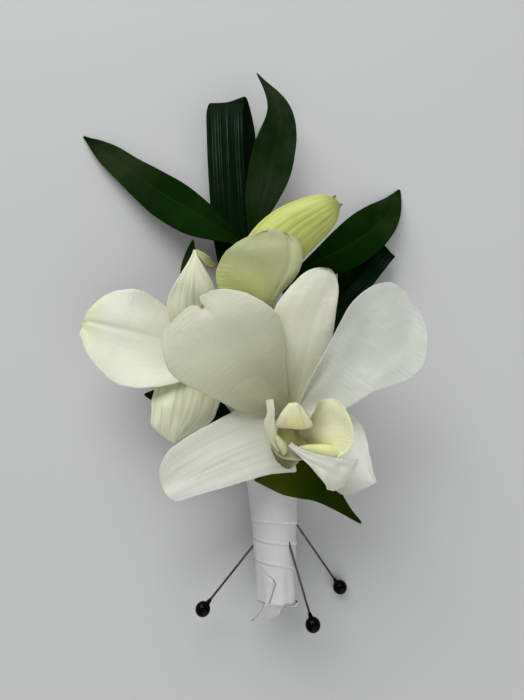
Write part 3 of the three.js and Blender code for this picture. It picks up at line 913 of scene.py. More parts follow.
@dataclass(frozen=True)
class PetalFinish:
    """A waxy petal: body colour, greener base and tip, fine veins and crinkles, and some painted light and
    shade.

    stripes gives the coloured lines along it, and crinkle the fine ones across it. flank colours its
    left side, or its right one where flank_at is 1: in most finishes a darker side colour is painted shade
    and a paler one painted light. A margin colour paints a shadow line along its margin, and spot colours
    the middle of its tip. In some finishes the base colour also paints shade on the inner part, and on the
    bud's sepal light on its lower part.
    """

    name: str
    body: Colour = (0.66, 0.67, 0.59)
    shade: Colour = (0.61, 0.62, 0.53)
    base: Colour = (0.43, 0.45, 0.27)
    tip: Colour = (0.58, 0.61, 0.36)
    stripe: Colour = (0.52, 0.55, 0.36)
    flank: Colour = (0.5, 0.5, 0.42)
    painted_rim_shadow: Colour = (0.6, 0.62, 0.5)
    flank_at: float = 0.0
    flank_share: float = 0.0
    painted_rim_shadow_share: float = 0.0
    spot: Colour = (0.16, 0.15, 0.04)
    spot_share: float = 0.0
    base_reach: float = 0.85
    base_share: float = 0.8
    tip_from: float = 0.93
    tip_share: float = 0.25
    stripes: float = 22
    stripe_share: float = 0.06
    crinkle: float = 1.0
    relief: float = 0.13
    roughness: float = 0.5
    cloud_scale: float = 90
    patch_scale: float = 120
    grain_scale: float = 2600
    crinkles: Point = (3.2, 34, 1.0)

    def build(self) -> Material:
        """Makes the material.

        Returns:
            The material.
        """
        bench = Bench(self.name)
        side = abs(bench.u - 0.5) * 2
        cloud = bench.noise(self.cloud_scale, 3)
        streaks = bench.noise(1, 3, (self.stripes, 1.3, 1.0), on_uv=True)
        veins = streaks.step(0.47, 0.62) * side.step(1.0, 0.8) * bench.v.step(1.0, 0.85)
        across = bench.noise(1, 3, self.crinkles, on_uv=True)
        colour = bench.mix(cloud.step(0.35, 0.7), self.body, self.shade)
        # The base colour: the petal's own greener base; in some finishes also painted shade on the inner
        # part, and on the bud's sepal painted light on its lower part.
        colour = bench.mix((1 - bench.v / self.base_reach).step(0, 1) * self.base_share, colour, self.base)
        colour = bench.mix(bench.v.step(self.tip_from, 1) * self.tip_share, colour, self.tip)
        colour = bench.mix(veins * self.stripe_share, colour, self.stripe)
        # The side colour: in most finishes painted shade where it is darker and painted light where it is
        # paler.
        flank = bench.u.step(0.55 - 0.1 * self.flank_at, self.flank_at)
        colour = bench.mix(flank * self.flank_share, colour, self.flank)
        # A painted shadow line along the margin.
        painted_rim_shadow_mask = side.step(0.86, 0.97) + bench.v.step(0.95, 0.99) * side.step(0.97, 0.86)
        colour = bench.mix(painted_rim_shadow_mask * self.painted_rim_shadow_share, colour, self.painted_rim_shadow)
        spot = side.step(0.1, 0.03) * bench.v.step(0.95, 0.985)
        colour = bench.mix(spot * self.spot_share, colour, self.spot)
        crinkled = side.step(0.4, 0.95) * 0.9 + bench.noise(self.patch_scale, 2).step(0.45, 0.62)
        grain = bench.noise(self.grain_scale, 2)
        height = streaks * 0.6 + across * crinkled * self.crinkle + grain * 0.06
        return bench.surface(
            Base_Color=colour,
            Roughness=cloud.step(0.2, 0.8) * 0.12 + (self.roughness - 0.06),
            Normal=bench.bump(height, self.relief),
            Subsurface_Weight=0.25,
            Subsurface_Radius=(1.0, 0.95, 0.5),
            Subsurface_Scale=0.0014,
            Specular_IOR_Level=0.3,
        )


@dataclass(frozen=True)
class CapFinish:
    """The waxy anther cap: a cream top, a yellower middle below, a darker left facet that is painted shade
    and a right facet close to the top's colour.
    """

    name: str
    top: Colour = (0.61, 0.61, 0.39)
    middle: Colour = (0.62, 0.575, 0.29)
    left: Colour = (0.52, 0.50, 0.33)
    right: Colour = (0.60, 0.585, 0.37)
    middle_left: float = 0.0128
    middle_right: float = 0.0168
    middle_top: float = -0.0258
    grain_scale: float = 900

    def build(self) -> Material:
        """Makes the material.

        Returns:
            The material.
        """
        bench = Bench(self.name)
        parts = bench.node("ShaderNodeSeparateXYZ", {}, {0: bench.object})
        x, y = Worth(bench, parts.outputs[0]), Worth(bench, parts.outputs[1])
        low = y.step(self.middle_top + 0.0006, self.middle_top - 0.0012)
        after_left = x.step(self.middle_left - 0.00008, self.middle_left + 0.00008)
        before_right = x.step(self.middle_right + 0.0003, self.middle_right - 0.0006)
        # The left facet's darker colour is painted shade.
        colour = bench.mix(after_left, self.left, self.right)
        colour = bench.mix(low, self.top, colour)
        colour = bench.mix(low * after_left * before_right, colour, self.middle)
        grain = bench.noise(self.grain_scale, 3)
        return bench.surface(
            Base_Color=colour,
            Roughness=grain * 0.1 + 0.4,
            Normal=bench.bump(grain, 0.02),
            Subsurface_Weight=0.2,
            Subsurface_Radius=(1.0, 0.9, 0.5),
            Subsurface_Scale=0.001,
            Specular_IOR_Level=0.3,
        )


@dataclass(frozen=True)
class LeafFinish:
    """A leaf with parallel veins, a midrib and a painted sheen.

    The bloom colour is a painted reflection, a dull sheen that grows and fades along the leaf over the
    shares of its length that its rise and fall pairs give; its streaks share is how much of it lies in
    streaks.
    """

    name: str
    dark: Colour = (0.0015, 0.012, 0.0004)
    light: Colour = (0.006, 0.024, 0.0015)
    rib: Colour = (0.022, 0.05, 0.01)
    base: Colour = (0.05, 0.056, 0.022)
    base_share: float = 0.0
    veins: float = 22
    vein_share: float = 0.18
    midrib: float = 0.03
    # bloom is the colour of the painted sheen, a broad dull painted reflection.
    bloom: Colour = (0.025, 0.039, 0.014)
    painted_sheen_share: float = 0.55
    painted_sheen_rise: tuple[float, float] = (0.45, 0.7)
    painted_sheen_fall: tuple[float, float] = (1.0, 0.85)
    painted_sheen_streaks: float = 0.0
    roughness: float = 0.42
    relief: float = 0.05
    cloud_scale: float = 70
    grain_scale: float = 1700
    streaks: Point = (22, 1.4, 1.0)

    def build(self) -> Material:
        """Makes the material.

        Returns:
            The material.
        """
        bench = Bench(self.name)
        side = abs(bench.u - 0.5) * 2
        cloud = bench.noise(self.cloud_scale, 3)
        lines = bench.lines(self.veins, 0.35, 0.7)
        streaks = bench.noise(1, 3, self.streaks, on_uv=True)
        patches = cloud.step(0.45, 0.8) * 0.6 + streaks.step(0.45, 0.7) * 0.25
        colour = bench.mix(patches, self.dark, self.light)
        colour = bench.mix(lines * self.vein_share, colour, self.light)
        # Painted sheen: a paler patch along the leaf's middle that stands in for the lamp's dull reflection.
        painted_sheen_mask = bench.v.step(*self.painted_sheen_rise) * bench.v.step(*self.painted_sheen_fall) * cloud.step(0.3, 0.6)
        painted_sheen_mask = painted_sheen_mask * (streaks.step(0.48, 0.62) * self.painted_sheen_streaks + (1 - self.painted_sheen_streaks))
        colour = bench.mix(painted_sheen_mask * self.painted_sheen_share, colour, self.bloom)
        colour = bench.mix(bench.v.step(0.6, 0) * self.base_share, colour, self.base)
        rib = side.step(self.midrib, 0)
        colour = bench.mix(rib * 0.45, colour, self.rib)
        colour = bench.mix(side.step(0.965, 1.0) * 0.4, colour, self.rib)
        grain = bench.noise(self.grain_scale, 2)
        return bench.surface(
            Base_Color=colour,
            Roughness=cloud.step(0.25, 0.75) * 0.14 + (self.roughness - 0.05),
            Normal=bench.bump(lines * 0.5 - rib * 0.9 + streaks * 0.8 + grain * 0.2, self.relief),
            Specular_IOR_Level=0.007,
        )


@dataclass(frozen=True)
class StalkFinish:
    """A fleshy green stalk, paler on one end."""

    name: str
    low: Colour = (0.22, 0.33, 0.09)
    high: Colour = (0.42, 0.50, 0.22)
    cloud_scale: float = 160

    def build(self) -> Material:
        """Makes the material.

        Returns:
            The material.
        """
        bench = Bench(self.name)
        cloud = bench.noise(self.cloud_scale, 3)
        colour = bench.mix(bench.v, self.low, self.high)
        colour = bench.mix(cloud.step(0.4, 0.8) * 0.4, colour, self.low)
        height = bench.lines(12, 0.5, 0.8) * 0.6 + bench.noise(1800, 2) * 0.4
        return bench.surface(
            Base_Color=colour,
            Roughness=cloud * 0.3 + 0.3,
            Normal=bench.bump(height, 0.05),
            Subsurface_Weight=0.2,
            Subsurface_Scale=0.001,
        )


@dataclass(frozen=True)
class SatinFinish:
    """White satin ribbon: fine weft lines, a soft sheen and a stitched selvedge, greyed a little as painted
    shade and lightened as painted light.
    """

    name: str
    white: Colour = (0.60, 0.605, 0.60)
    grey: Colour = (0.47, 0.475, 0.475)
    thread_and_painted_light: Colour = (0.90, 0.905, 0.90)
    weft_gap: float = 0.3
    selvedge: float = 0.05
    stitch_gap: float = 0.62
    cloud_scale: float = 55
    rumple_scale: float = 420

    def build(self) -> Material:
        """Makes the material.

        Returns:
            The material.
        """
        bench = Bench(self.name)
        side = abs(bench.u - 0.5) * 2
        cloud = bench.noise(self.cloud_scale, 3)
        ribbon = RibbonWrap()
        weft = (bench.v * (ribbon.wound_length() / self.weft_gap) * (2 * math.pi)).sine()
        warp = (bench.u * (ribbon.width / self.weft_gap) * (2 * math.pi)).sine()
        edge = side.step(1 - 2.4 * self.selvedge, 1 - 1.4 * self.selvedge)
        stitches = (bench.v * (ribbon.wound_length() / self.stitch_gap) * (2 * math.pi)).sine()
        beads = stitches.step(-0.3, 0.7) * edge
        # The selvedge: greyed a little, painted shade along the lap edges, and lightened towards the
        # stitches' white, painted light on the margins; the beads are the real stitches.
        colour = bench.mix(cloud.step(0.35, 0.75) * 0.3 + (edge - beads) * 0.1, self.white, self.grey)
        colour = bench.mix(edge * 0.1 + beads * 0.6, colour, self.thread_and_painted_light)
        height = weft * 0.08 + warp * edge * 0.1 + beads * 0.8 + bench.noise(self.rumple_scale, 3) * 1.2
        return bench.surface(
            Base_Color=colour,
            Roughness=cloud.step(0.3, 0.7) * 0.1 + 0.34 + edge * 0.2,
            Normal=bench.bump(height, 0.1),
            Sheen_Weight=0.08,
            Sheen_Roughness=0.35,
            Anisotropic=0.4,
        )


@dataclass(frozen=True)
class TapeFinish:
    """Green stem tape: waxed crepe paper, wound and rubbed."""

    name: str
    green: Colour = (0.035, 0.085, 0.035)
    worn: Colour = (0.10, 0.17, 0.08)
    cloud_scale: float = 120
    crepe_scale: float = 900

    def build(self) -> Material:
        """Makes the material.

        Returns:
            The material.
        """
        bench = Bench(self.name)
        cloud = bench.noise(self.cloud_scale, 3)
        crepe = bench.noise(self.crepe_scale, 3, (1.0, 4.0, 1.0))
        colour = bench.mix(cloud.step(0.4, 0.75), self.green, self.worn)
        return bench.surface(
            Base_Color=colour,
            Roughness=crepe * 0.3 + 0.5,
            Normal=bench.bump(crepe, 0.12),
        )


@dataclass(frozen=True)
class SteelFinish:
    """Dark steel wire, slightly scuffed."""

    name: str
    steel: Colour = (0.10, 0.09, 0.088)
    dull: Colour = (0.04, 0.036, 0.036)
    scuff_scale: float = 900

    def build(self) -> Material:
        """Makes the material.

        Returns:
            The material.
        """
        bench = Bench(self.name)
        scuffs = bench.noise(self.scuff_scale, 3, (1.0, 0.2, 1.0))
        colour = bench.mix(scuffs.step(0.35, 0.7), self.steel, self.dull)
        return bench.surface(
            Base_Color=colour,
            Roughness=scuffs * 0.25 + 0.25,
            Metallic=0.7,
            Normal=bench.bump(scuffs, 0.01),
        )


@dataclass(frozen=True)
class GlossFinish:
    """A glossy moulded pin head."""

    name: str
    black: Colour = (0.0008, 0.0008, 0.0009)
    dust: Colour = (0.004, 0.004, 0.0042)
    smudge_scale: float = 380
    grain_scale: float = 1200

    def build(self) -> Material:
        """Makes the material.

        Returns:
            The material.
        """
        bench = Bench(self.name)
        smudge = bench.noise(self.smudge_scale, 4)
        colour = bench.mix(smudge.step(0.45, 0.8) * 0.6, self.black, self.dust)
        return bench.surface(
            Base_Color=colour,
            Roughness=smudge.step(0.4, 0.8) * 0.15 + 0.16,
            Normal=bench.bump(bench.noise(self.grain_scale, 2), 0.012),
            Specular_IOR_Level=0.06,
        )


# Stalks and stem


BUNDLE_END = np.array([0.0, 0.9, 10.5])
BUNDLE_TOP = np.array([-1.8, 42.0, 12.1])
BUNDLE_WAY = (BUNDLE_TOP - BUNDLE_END) / np.linalg.norm(BUNDLE_TOP - BUNDLE_END)
BUNDLE_RADII = (5.0, 6.6)
BUNDLE_WIDENS_FROM = 6
BUNDLE_WIDENS_OVER = 26
SOCKET_RINGS = {"inner": 1.7, "outer": 4.7}
SOCKET_DEPTH = 9.0
SOCKET_LEAD = 1.5
CLEARANCE = 0.3


def axis_point(y: Array | float) -> Array:
    """Points on the bundle's axis at heights y."""
    share = (np.asarray(y, float) - BUNDLE_END[1]) / BUNDLE_WAY[1]
    return BUNDLE_END + BUNDLE_WAY * share[..., None]


def bundle_radius(y: Array) -> Array:
    """The bundle's radius at heights y."""
    share = np.clip((y - BUNDLE_WIDENS_FROM) / BUNDLE_WIDENS_OVER, 0, 1)
    return BUNDLE_RADII[0] + (BUNDLE_RADII[1] - BUNDLE_RADII[0]) * share**2


def round_bundle(y: Array, angle: Array, radius: Array) -> Array:
    """Points round the bundle's axis, angle 0 towards X and a right angle towards Z."""
    way = np.stack([np.cos(angle), np.zeros_like(angle), np.sin(angle)], axis=-1)
    return axis_point(y) + way * radius[..., None]


def rooted(ring: str, degrees: float) -> tuple[Point, ...]:
    """The first points of a stalk that stands in a hole in the bundle's top.

    Args:
        ring: which ring of holes, inner or outer.
        degrees: the hole's angle, 0 towards X and 90 towards Z.

    Returns:
        The stalk's foot, the hole's mouth and a point just past it.
    """
    angle = math.radians(degrees)
    mouth = BUNDLE_TOP + SOCKET_RINGS[ring] * np.array([math.cos(angle), 0, math.sin(angle)])
    foot = mouth - BUNDLE_WAY * (SOCKET_DEPTH / BUNDLE_WAY[1] - CLEARANCE)
    return tuple(tuple(map(float, point)) for point in (foot, mouth, mouth + BUNDLE_WAY * SOCKET_LEAD))


@dataclass
class StemBundle:
    """The cut stems under their wound tape."""

    tape_pitch: float = 5.5
    tape_step: float = 0.16
    end_share: float = 0.1
    end_roundness: float = 2.6
    steps: tuple[int, int] = (48, 90)

    def build(self, finishes: "Finishes") -> None:
        """Builds and dresses the bundle."""
        stems = close_up(shaped_grid("taped_stems", self.steps, self.place, towards_ends))
        settle(stems, finishes.tape, Slot.TAPE, "stem_bundle")

    def place(self, t: Array, side: Array) -> Array:
        """The tape's surface, closed at the stem end and at the top.

        Args:
            t: shares of the length.
            side: places across, from -1 to 1.

        Returns:
            Points in millimetres.
        """
        cap = self.end_share
        share = np.clip((t - cap) / (1 - 2 * cap), 0, 1)
        y = BUNDLE_END[1] + (BUNDLE_TOP[1] - BUNDLE_END[1]) * share
        inwards = np.minimum(np.clip(t / cap, 0, 1), np.clip((1 - t) / cap, 0, 1))
        angle = np.pi * side - np.pi / 2
        turn = (y / self.tape_pitch + side / 2) % 1
        lumps = 1 + 0.012 * np.sin(9 * angle) + 0.02 * np.sin(4 * angle + 1)
        rounding = np.sqrt(1 - (1 - inwards) ** self.end_roundness)
        radius = (bundle_radius(y) * lumps - self.tape_step * turn) * rounding
        return round_bundle(y, angle, radius)


@dataclass
class Pins:
    """Three pins with dark steel shafts and round black heads."""

    head_radius: float = 2.0
    shaft_radius: float = 0.3
    shaft_length: float = 36.0
    point_length: float = 4.0
    neck_radius: float = 0.62
    neck_length: float = 1.3
    neck_overlap: float = 0.985
    inside_head: float = 0.2
    shaft_sides: int = 20
    head_steps: tuple[int, int] = (40, 28)
    point_steps: tuple[tuple[float, float], ...] = ((0.6, 0.75), (0.4, 0.12))
    neck_steps: tuple[tuple[float, float], ...] = ((0.15, 0.95), (0.7, 0.72), (0.15, 0.85))
    places: tuple[tuple[str, Point, Point], ...] = (
        ("left", (-20, -1.7, 12.5), (-6.4, 14.3, 10.3)),
        ("centre", (9.1, -4.8, 15), (3, 15.8, 15.6)),
        ("right", (18.2, 1, 2), (6.2, 18.4, 8.5)),
    )

    def build(self, finishes: "Finishes") -> None:
        """Builds and dresses the pins.

        Args:
            finishes: the part's finishes.
        """
        for name, head, entry in self.places:
            shaft = self.stood(self.shaft(f"pin_{name}_wire"), head, entry)
            settle(shaft, finishes.steel, Slot.STEEL, f"pin_{name}_shaft")
            ball = self.stood(self.head(f"pin_{name}_ball"), head, entry)
            settle(ball, finishes.head, Slot.HEAD, f"pin_{name}_head")

    def shaft(self, name: str) -> Piece:
        """A wire along Z from inside its head, ground to a point.

        Args:
            name: its name.

        Returns:
            The wire.
        """
        start = -self.inside_head
        straight = self.shaft_length - self.point_length - start
        bpy.ops.object.select_all(action="DESELECT")
        bpy.ops.mesh.primitive_cylinder_add(
            vertices=self.shaft_sides,
            radius=self.shaft_radius * MM,
            depth=straight * MM,
            location=(0, 0, (start + straight / 2) * MM),
        )
        obj = bpy.context.active_object
        obj.name = name
        bpy.ops.object.transform_apply(location=True)
        with editing(obj, everything=False):
            for length, scale in self.point_steps:
                pick_faces(obj, lambda face: face.normal.z > 0.9)
                self.draw_out(self.point_length * length, scale)
        return close_up(obj)

    def head(self, name: str) -> Piece:
        """A ball round the origin with a short neck towards Z.

        Args:
            name: its name.

        Returns:
            The ball.
        """
        bpy.ops.object.select_all(action="DESELECT")
        segments, rings = self.head_steps
        bpy.ops.mesh.primitive_uv_sphere_add(
            segments=segments, ring_count=rings, radius=self.head_radius * MM
        )
        obj = bpy.context.active_object
        obj.name = name
        with editing(obj, everything=False):
            cap = math.sqrt(self.head_radius**2 - self.neck_radius**2) * self.neck_overlap
            pick_faces(obj, lambda face: face.calc_center_median().z > cap * MM)
            for length, scale in self.neck_steps:
                self.draw_out(self.neck_length * length, scale)
        close_up(obj)
        modify(obj, "SUBSURF", levels=1, render_levels=1)
        return obj

    @staticmethod
    def draw_out(length: float, scale: float) -> None:
        """Extrudes what is selected along Z and narrows its end."""
        bpy.ops.mesh.extrude_region_move(TRANSFORM_OT_translate={"value": (0, 0, length * MM)})
        bpy.ops.transform.resize(value=(scale, scale, 1))

    @staticmethod
    def stood(obj: Piece, head: Point, entry: Point) -> Piece:
        """Turns a piece that was made along Z to its pin's way and puts it at its head.

        Args:
            obj: the piece.
            head: the middle of the pin's head.
            entry: where the pin goes in.

        Returns:
            The piece.
        """
        way = Vector(entry) - Vector(head)
        obj.rotation_mode = "QUATERNION"
        obj.rotation_quaternion = way.to_track_quat("Z", "Y")
        obj.location = Vector((np.array(head) - PART_MIDDLE) * MM)
        pick_only(obj)
        bpy.ops.object.transform_apply(location=True, rotation=True)
        return obj


@dataclass
class RibbonWrap:
    """The satin ribbon, wound up the stem from its end, with its folded start and tail."""

    width: float = 16.0
    thickness: float = 0.12
    layer: float = 0.14
    tail_thickness: float = 0.25
    hem_thickness: float = 0.3
    ends_length: float = 14.0
    stand_off: float = 0.45
    radius: float = 6.6
    hem_tilt: float = -0.05
    first_turn: float = -1.0
    last_turn: float = 3.6
    edge_turns: tuple[float, ...] = (-1.0, 0.3, 1.0, 2.0, 3.0, 4.0)
    edge_heights: tuple[float, ...] = (0.1, 0.1, 10.1, 15.6, 21.0, 21.6)
    steps: tuple[int, int] = (20, 620)
    foot_steps: tuple[int, int] = (60, 14)
    tail_steps: tuple[int, int] = (24, 34)
    lap_steps: tuple[int, int] = (40, 40)
    hem_steps: tuple[int, int] = (8, 40)
    foot_room: float = 0.5
    foot_reach: float = 0.985
    foot_rise: float = 0.12
    pleats: int = 7
    pleat_depth: float = 0.22
    lap_roll: float = 0.25
    lap_tuck: float = 0.16
    lap_foot: float = 0.6
    lap_height: float = 8.9
    lap_shares: tuple[float, ...] = (0, 0.55, 0.68, 1)
    lap_angles: tuple[float, ...] = (1.95, 1.62, 1.68, 2.35)
    lap_back_angle: float = 3.3
    tail_start: Point = (-0.8, 0.8, 15.2)
    tail_end: Point = (-4.0, -6.0, 8.6)
    tail_half_width: float = 2.6
    tail_widening: float = 0.7
    tail_slant: float = 0.42
    tail_rise: float = 1.1
    tail_roll: float = 0.9
    tail_dip: float = 0.45
    pull_depth: float = 0.05
    fold_depth: float = 0.14
    rolled_hem: Blade = Blade(
        spine=((0.4, 0.9, 15.1), (2.4, -0.1, 14.9), (4.5, -0.3, 14.0), (5.5, 0.6, 12.8), (4.4, 1.3, 13.4)),
        across=((0, 0, 1),),
        halves=(0.5, 1.2, 1.3, 1.1, 0.7),
    )

    def wound_length(self) -> float:
        """The wound length of the ribbon in millimetres."""
        return (self.last_turn - self.first_turn) * 2 * math.pi * self.radius

    def build(self, finishes: "Finishes") -> None:
        """Builds and dresses the ribbon.

        Args:
            finishes: the part's finishes.
        """
        wound = thin_piece("ribbon_wound", self.place, self.thickness, self.steps, 1.0, evenly, rounds=0)
        foot = thin_piece("ribbon_foot", self.foot, self.thickness, self.foot_steps, 1.0, evenly)
        tail = thin_piece("ribbon_tail", self.tail, self.tail_thickness, self.tail_steps, 0.8, evenly)
        lap = thin_piece("ribbon_lap", self.lap, self.thickness, self.lap_steps, 1.0, evenly, rounds=0)
        hem = thin_piece(
            "ribbon_hem", self.rolled_hem.place, self.hem_thickness, self.hem_steps, 1.0, evenly
        )
        ribbon = joined("satin_ribbon", [wound, foot, tail, lap, hem])
        settle(ribbon, finishes.satin, Slot.RIBBON, "ribbon_wrap")

    def lower_edge(self, turn: Array) -> Array:
        """The height of the ribbon's lower edge at each turn, less steep in front."""
        eased_turn = turn - 0.4 * np.sin(2 * np.pi * turn) / (2 * np.pi)
        return np.interp(eased_turn, self.edge_turns, self.edge_heights)

    def skin(self, y: Array, angle: Array, layers: Array | float) -> Array:
        """How far the satin lies from the stem's axis, with its soft pulls and its folds near the hem.

        Args:
            y: heights.
            angle: angles round the stem.
            layers: how many layers lie under it.

        Returns:
            Millimetres.
        """
        pulls = self.pull_depth * np.sin(2.2 * y + 3 * angle) * np.sin(5 * angle + 0.6) ** 2
        folds = self.fold_depth * np.cos(9 * angle + 0.05 * y) * smooth(13, 4, y)
        lumps = self.pull_depth * np.sin(3 * angle + y / 3)
        return bundle_radius(y) + self.stand_off + self.layer * layers + (pulls + folds + lumps)

    def place(self, t: Array, side: Array) -> Array:
        """The wound strip.

        Args:
            t: shares of its length from its start.
            side: from -1 at its lower edge to 1 at its upper one.

        Returns:
            Points in millimetres.
        """
        turn = self.first_turn + (self.last_turn - self.first_turn) * t
        angle = np.pi / 2 + 2 * np.pi * turn
        y = self.lower_edge(turn) + self.width * (side + 1) / 2
        under = np.zeros_like(y)
        for earlier in range(1, 5):
            there = smooth(self.first_turn - 0.02, self.first_turn + 0.02, turn - earlier)
            top = self.lower_edge(turn - earlier) + self.width
            under += there * smooth(-0.5, 0.5, top - y)
        radius = self.skin(y, angle, under)
        points = round_bundle(y, angle, radius)
        points[:, 1] += self.hem_tilt * radius * np.cos(angle) * smooth(9, 0, y)
        return points

    def lap(self, t: Array, side: Array) -> Array:
        """The ribbon's slanting first fold on the lower left.

        Args:
            t: shares of its height, from the hem upwards.
            side: from -1 behind to 1 at its slanting edge.

        Returns:
            Points in millimetres.
        """
        y = self.lap_foot + self.lap_height * t
        edge = np.interp(t, self.lap_shares, self.lap_angles)
        angle = edge + (self.lap_back_angle - edge) * (1 - side) / 2
        roll = self.lap_roll * bell(side, 0.75, 0.14) * smooth(0.75, 0.6, t)
        tuck = self.lap_tuck * smooth(0.85, 1, side)
        return round_bundle(y, angle, self.skin(y, angle, 2) + (roll - tuck))

    def tail(self, t: Array, side: Array) -> Array:
        """The ribbon's short end, folded out below the stem, its lower right corner cut slanting.

        Args:
            t: shares of its length, from the stem.
            side: from -1 at its left edge to 1 at its right one.

        Returns:
            Points in millimetres.
        """
        start, end = np.array(self.tail_start), np.array(self.tail_end)
        reach = (t * (1 - self.tail_slant * smooth(0.1, 1, side)))[..., None]
        points = start + (end - start) * reach
        points[..., 0] += side * (self.tail_half_width + self.tail_widening * t)
        points[..., 1] += 0.25 * np.sin(5 * t) * side
        roll = self.tail_roll * bell(side, -0.8, 0.2)
        dip = self.tail_dip * bell(side, 0.25, 0.25) * t
        points[..., 2] += self.tail_rise * np.sin(np.pi * t) ** 0.8 + roll - dip
        return points

    def foot(self, t: Array, side: Array) -> Array:
        """The ribbon folded in under the stem end.

        Args:
            t: shares of the way from the hem to the middle.
            side: from -1 to 1 once round.

        Returns:
            Points in millimetres.
        """
        angle = np.pi * side
        radius = (BUNDLE_RADII[0] + self.foot_room) * (1 - t * self.foot_reach)
        pleats = self.pleat_depth * np.sin(self.pleats * angle) * np.sin(np.pi * t)
        points = round_bundle(self.foot_rise + pleats + 0.15 * t, angle, radius)
        points[:, 1] += self.hem_tilt * radius * np.cos(angle)
        return points


# Leaves


@dataclass(frozen=True)
class LeafShape:
    """A leaf: its blade, the hole that its stalk stands in and the stalk's way from there."""

    name: str
    root: tuple[str, float]
    stalk: tuple[Point, ...]
    blade: Blade


def leaf_blade(
    spine: tuple[Point, ...],
    left: Outline,
    right: Outline,
    face: tuple[Point, ...] = ((0, 0, 1),),
    fold: float = 0.12,
    wave: float = 0.0,
) -> Blade:
    """A leaf's blade, folded along its midrib.

    Args:
        spine: its midrib.
        left: its left outline.
        right: its right outline.
        face: what it faces.
        fold: the slope of its halves.
        wave: where its margin's waves start.

    Returns:
        The blade.
    """
    reliefs = (
        Ripple(0.22, 2.3, wave, -1, 3.0),
        Ripple(0.22, 1.9, wave + 0.37, 1, 3.0),
        Ripple(0.12, 1.3, wave, 0, 1.0),
    )
    return Blade(spine=spine, face=face, left=left, right=right, fold=(fold,), reliefs=reliefs)


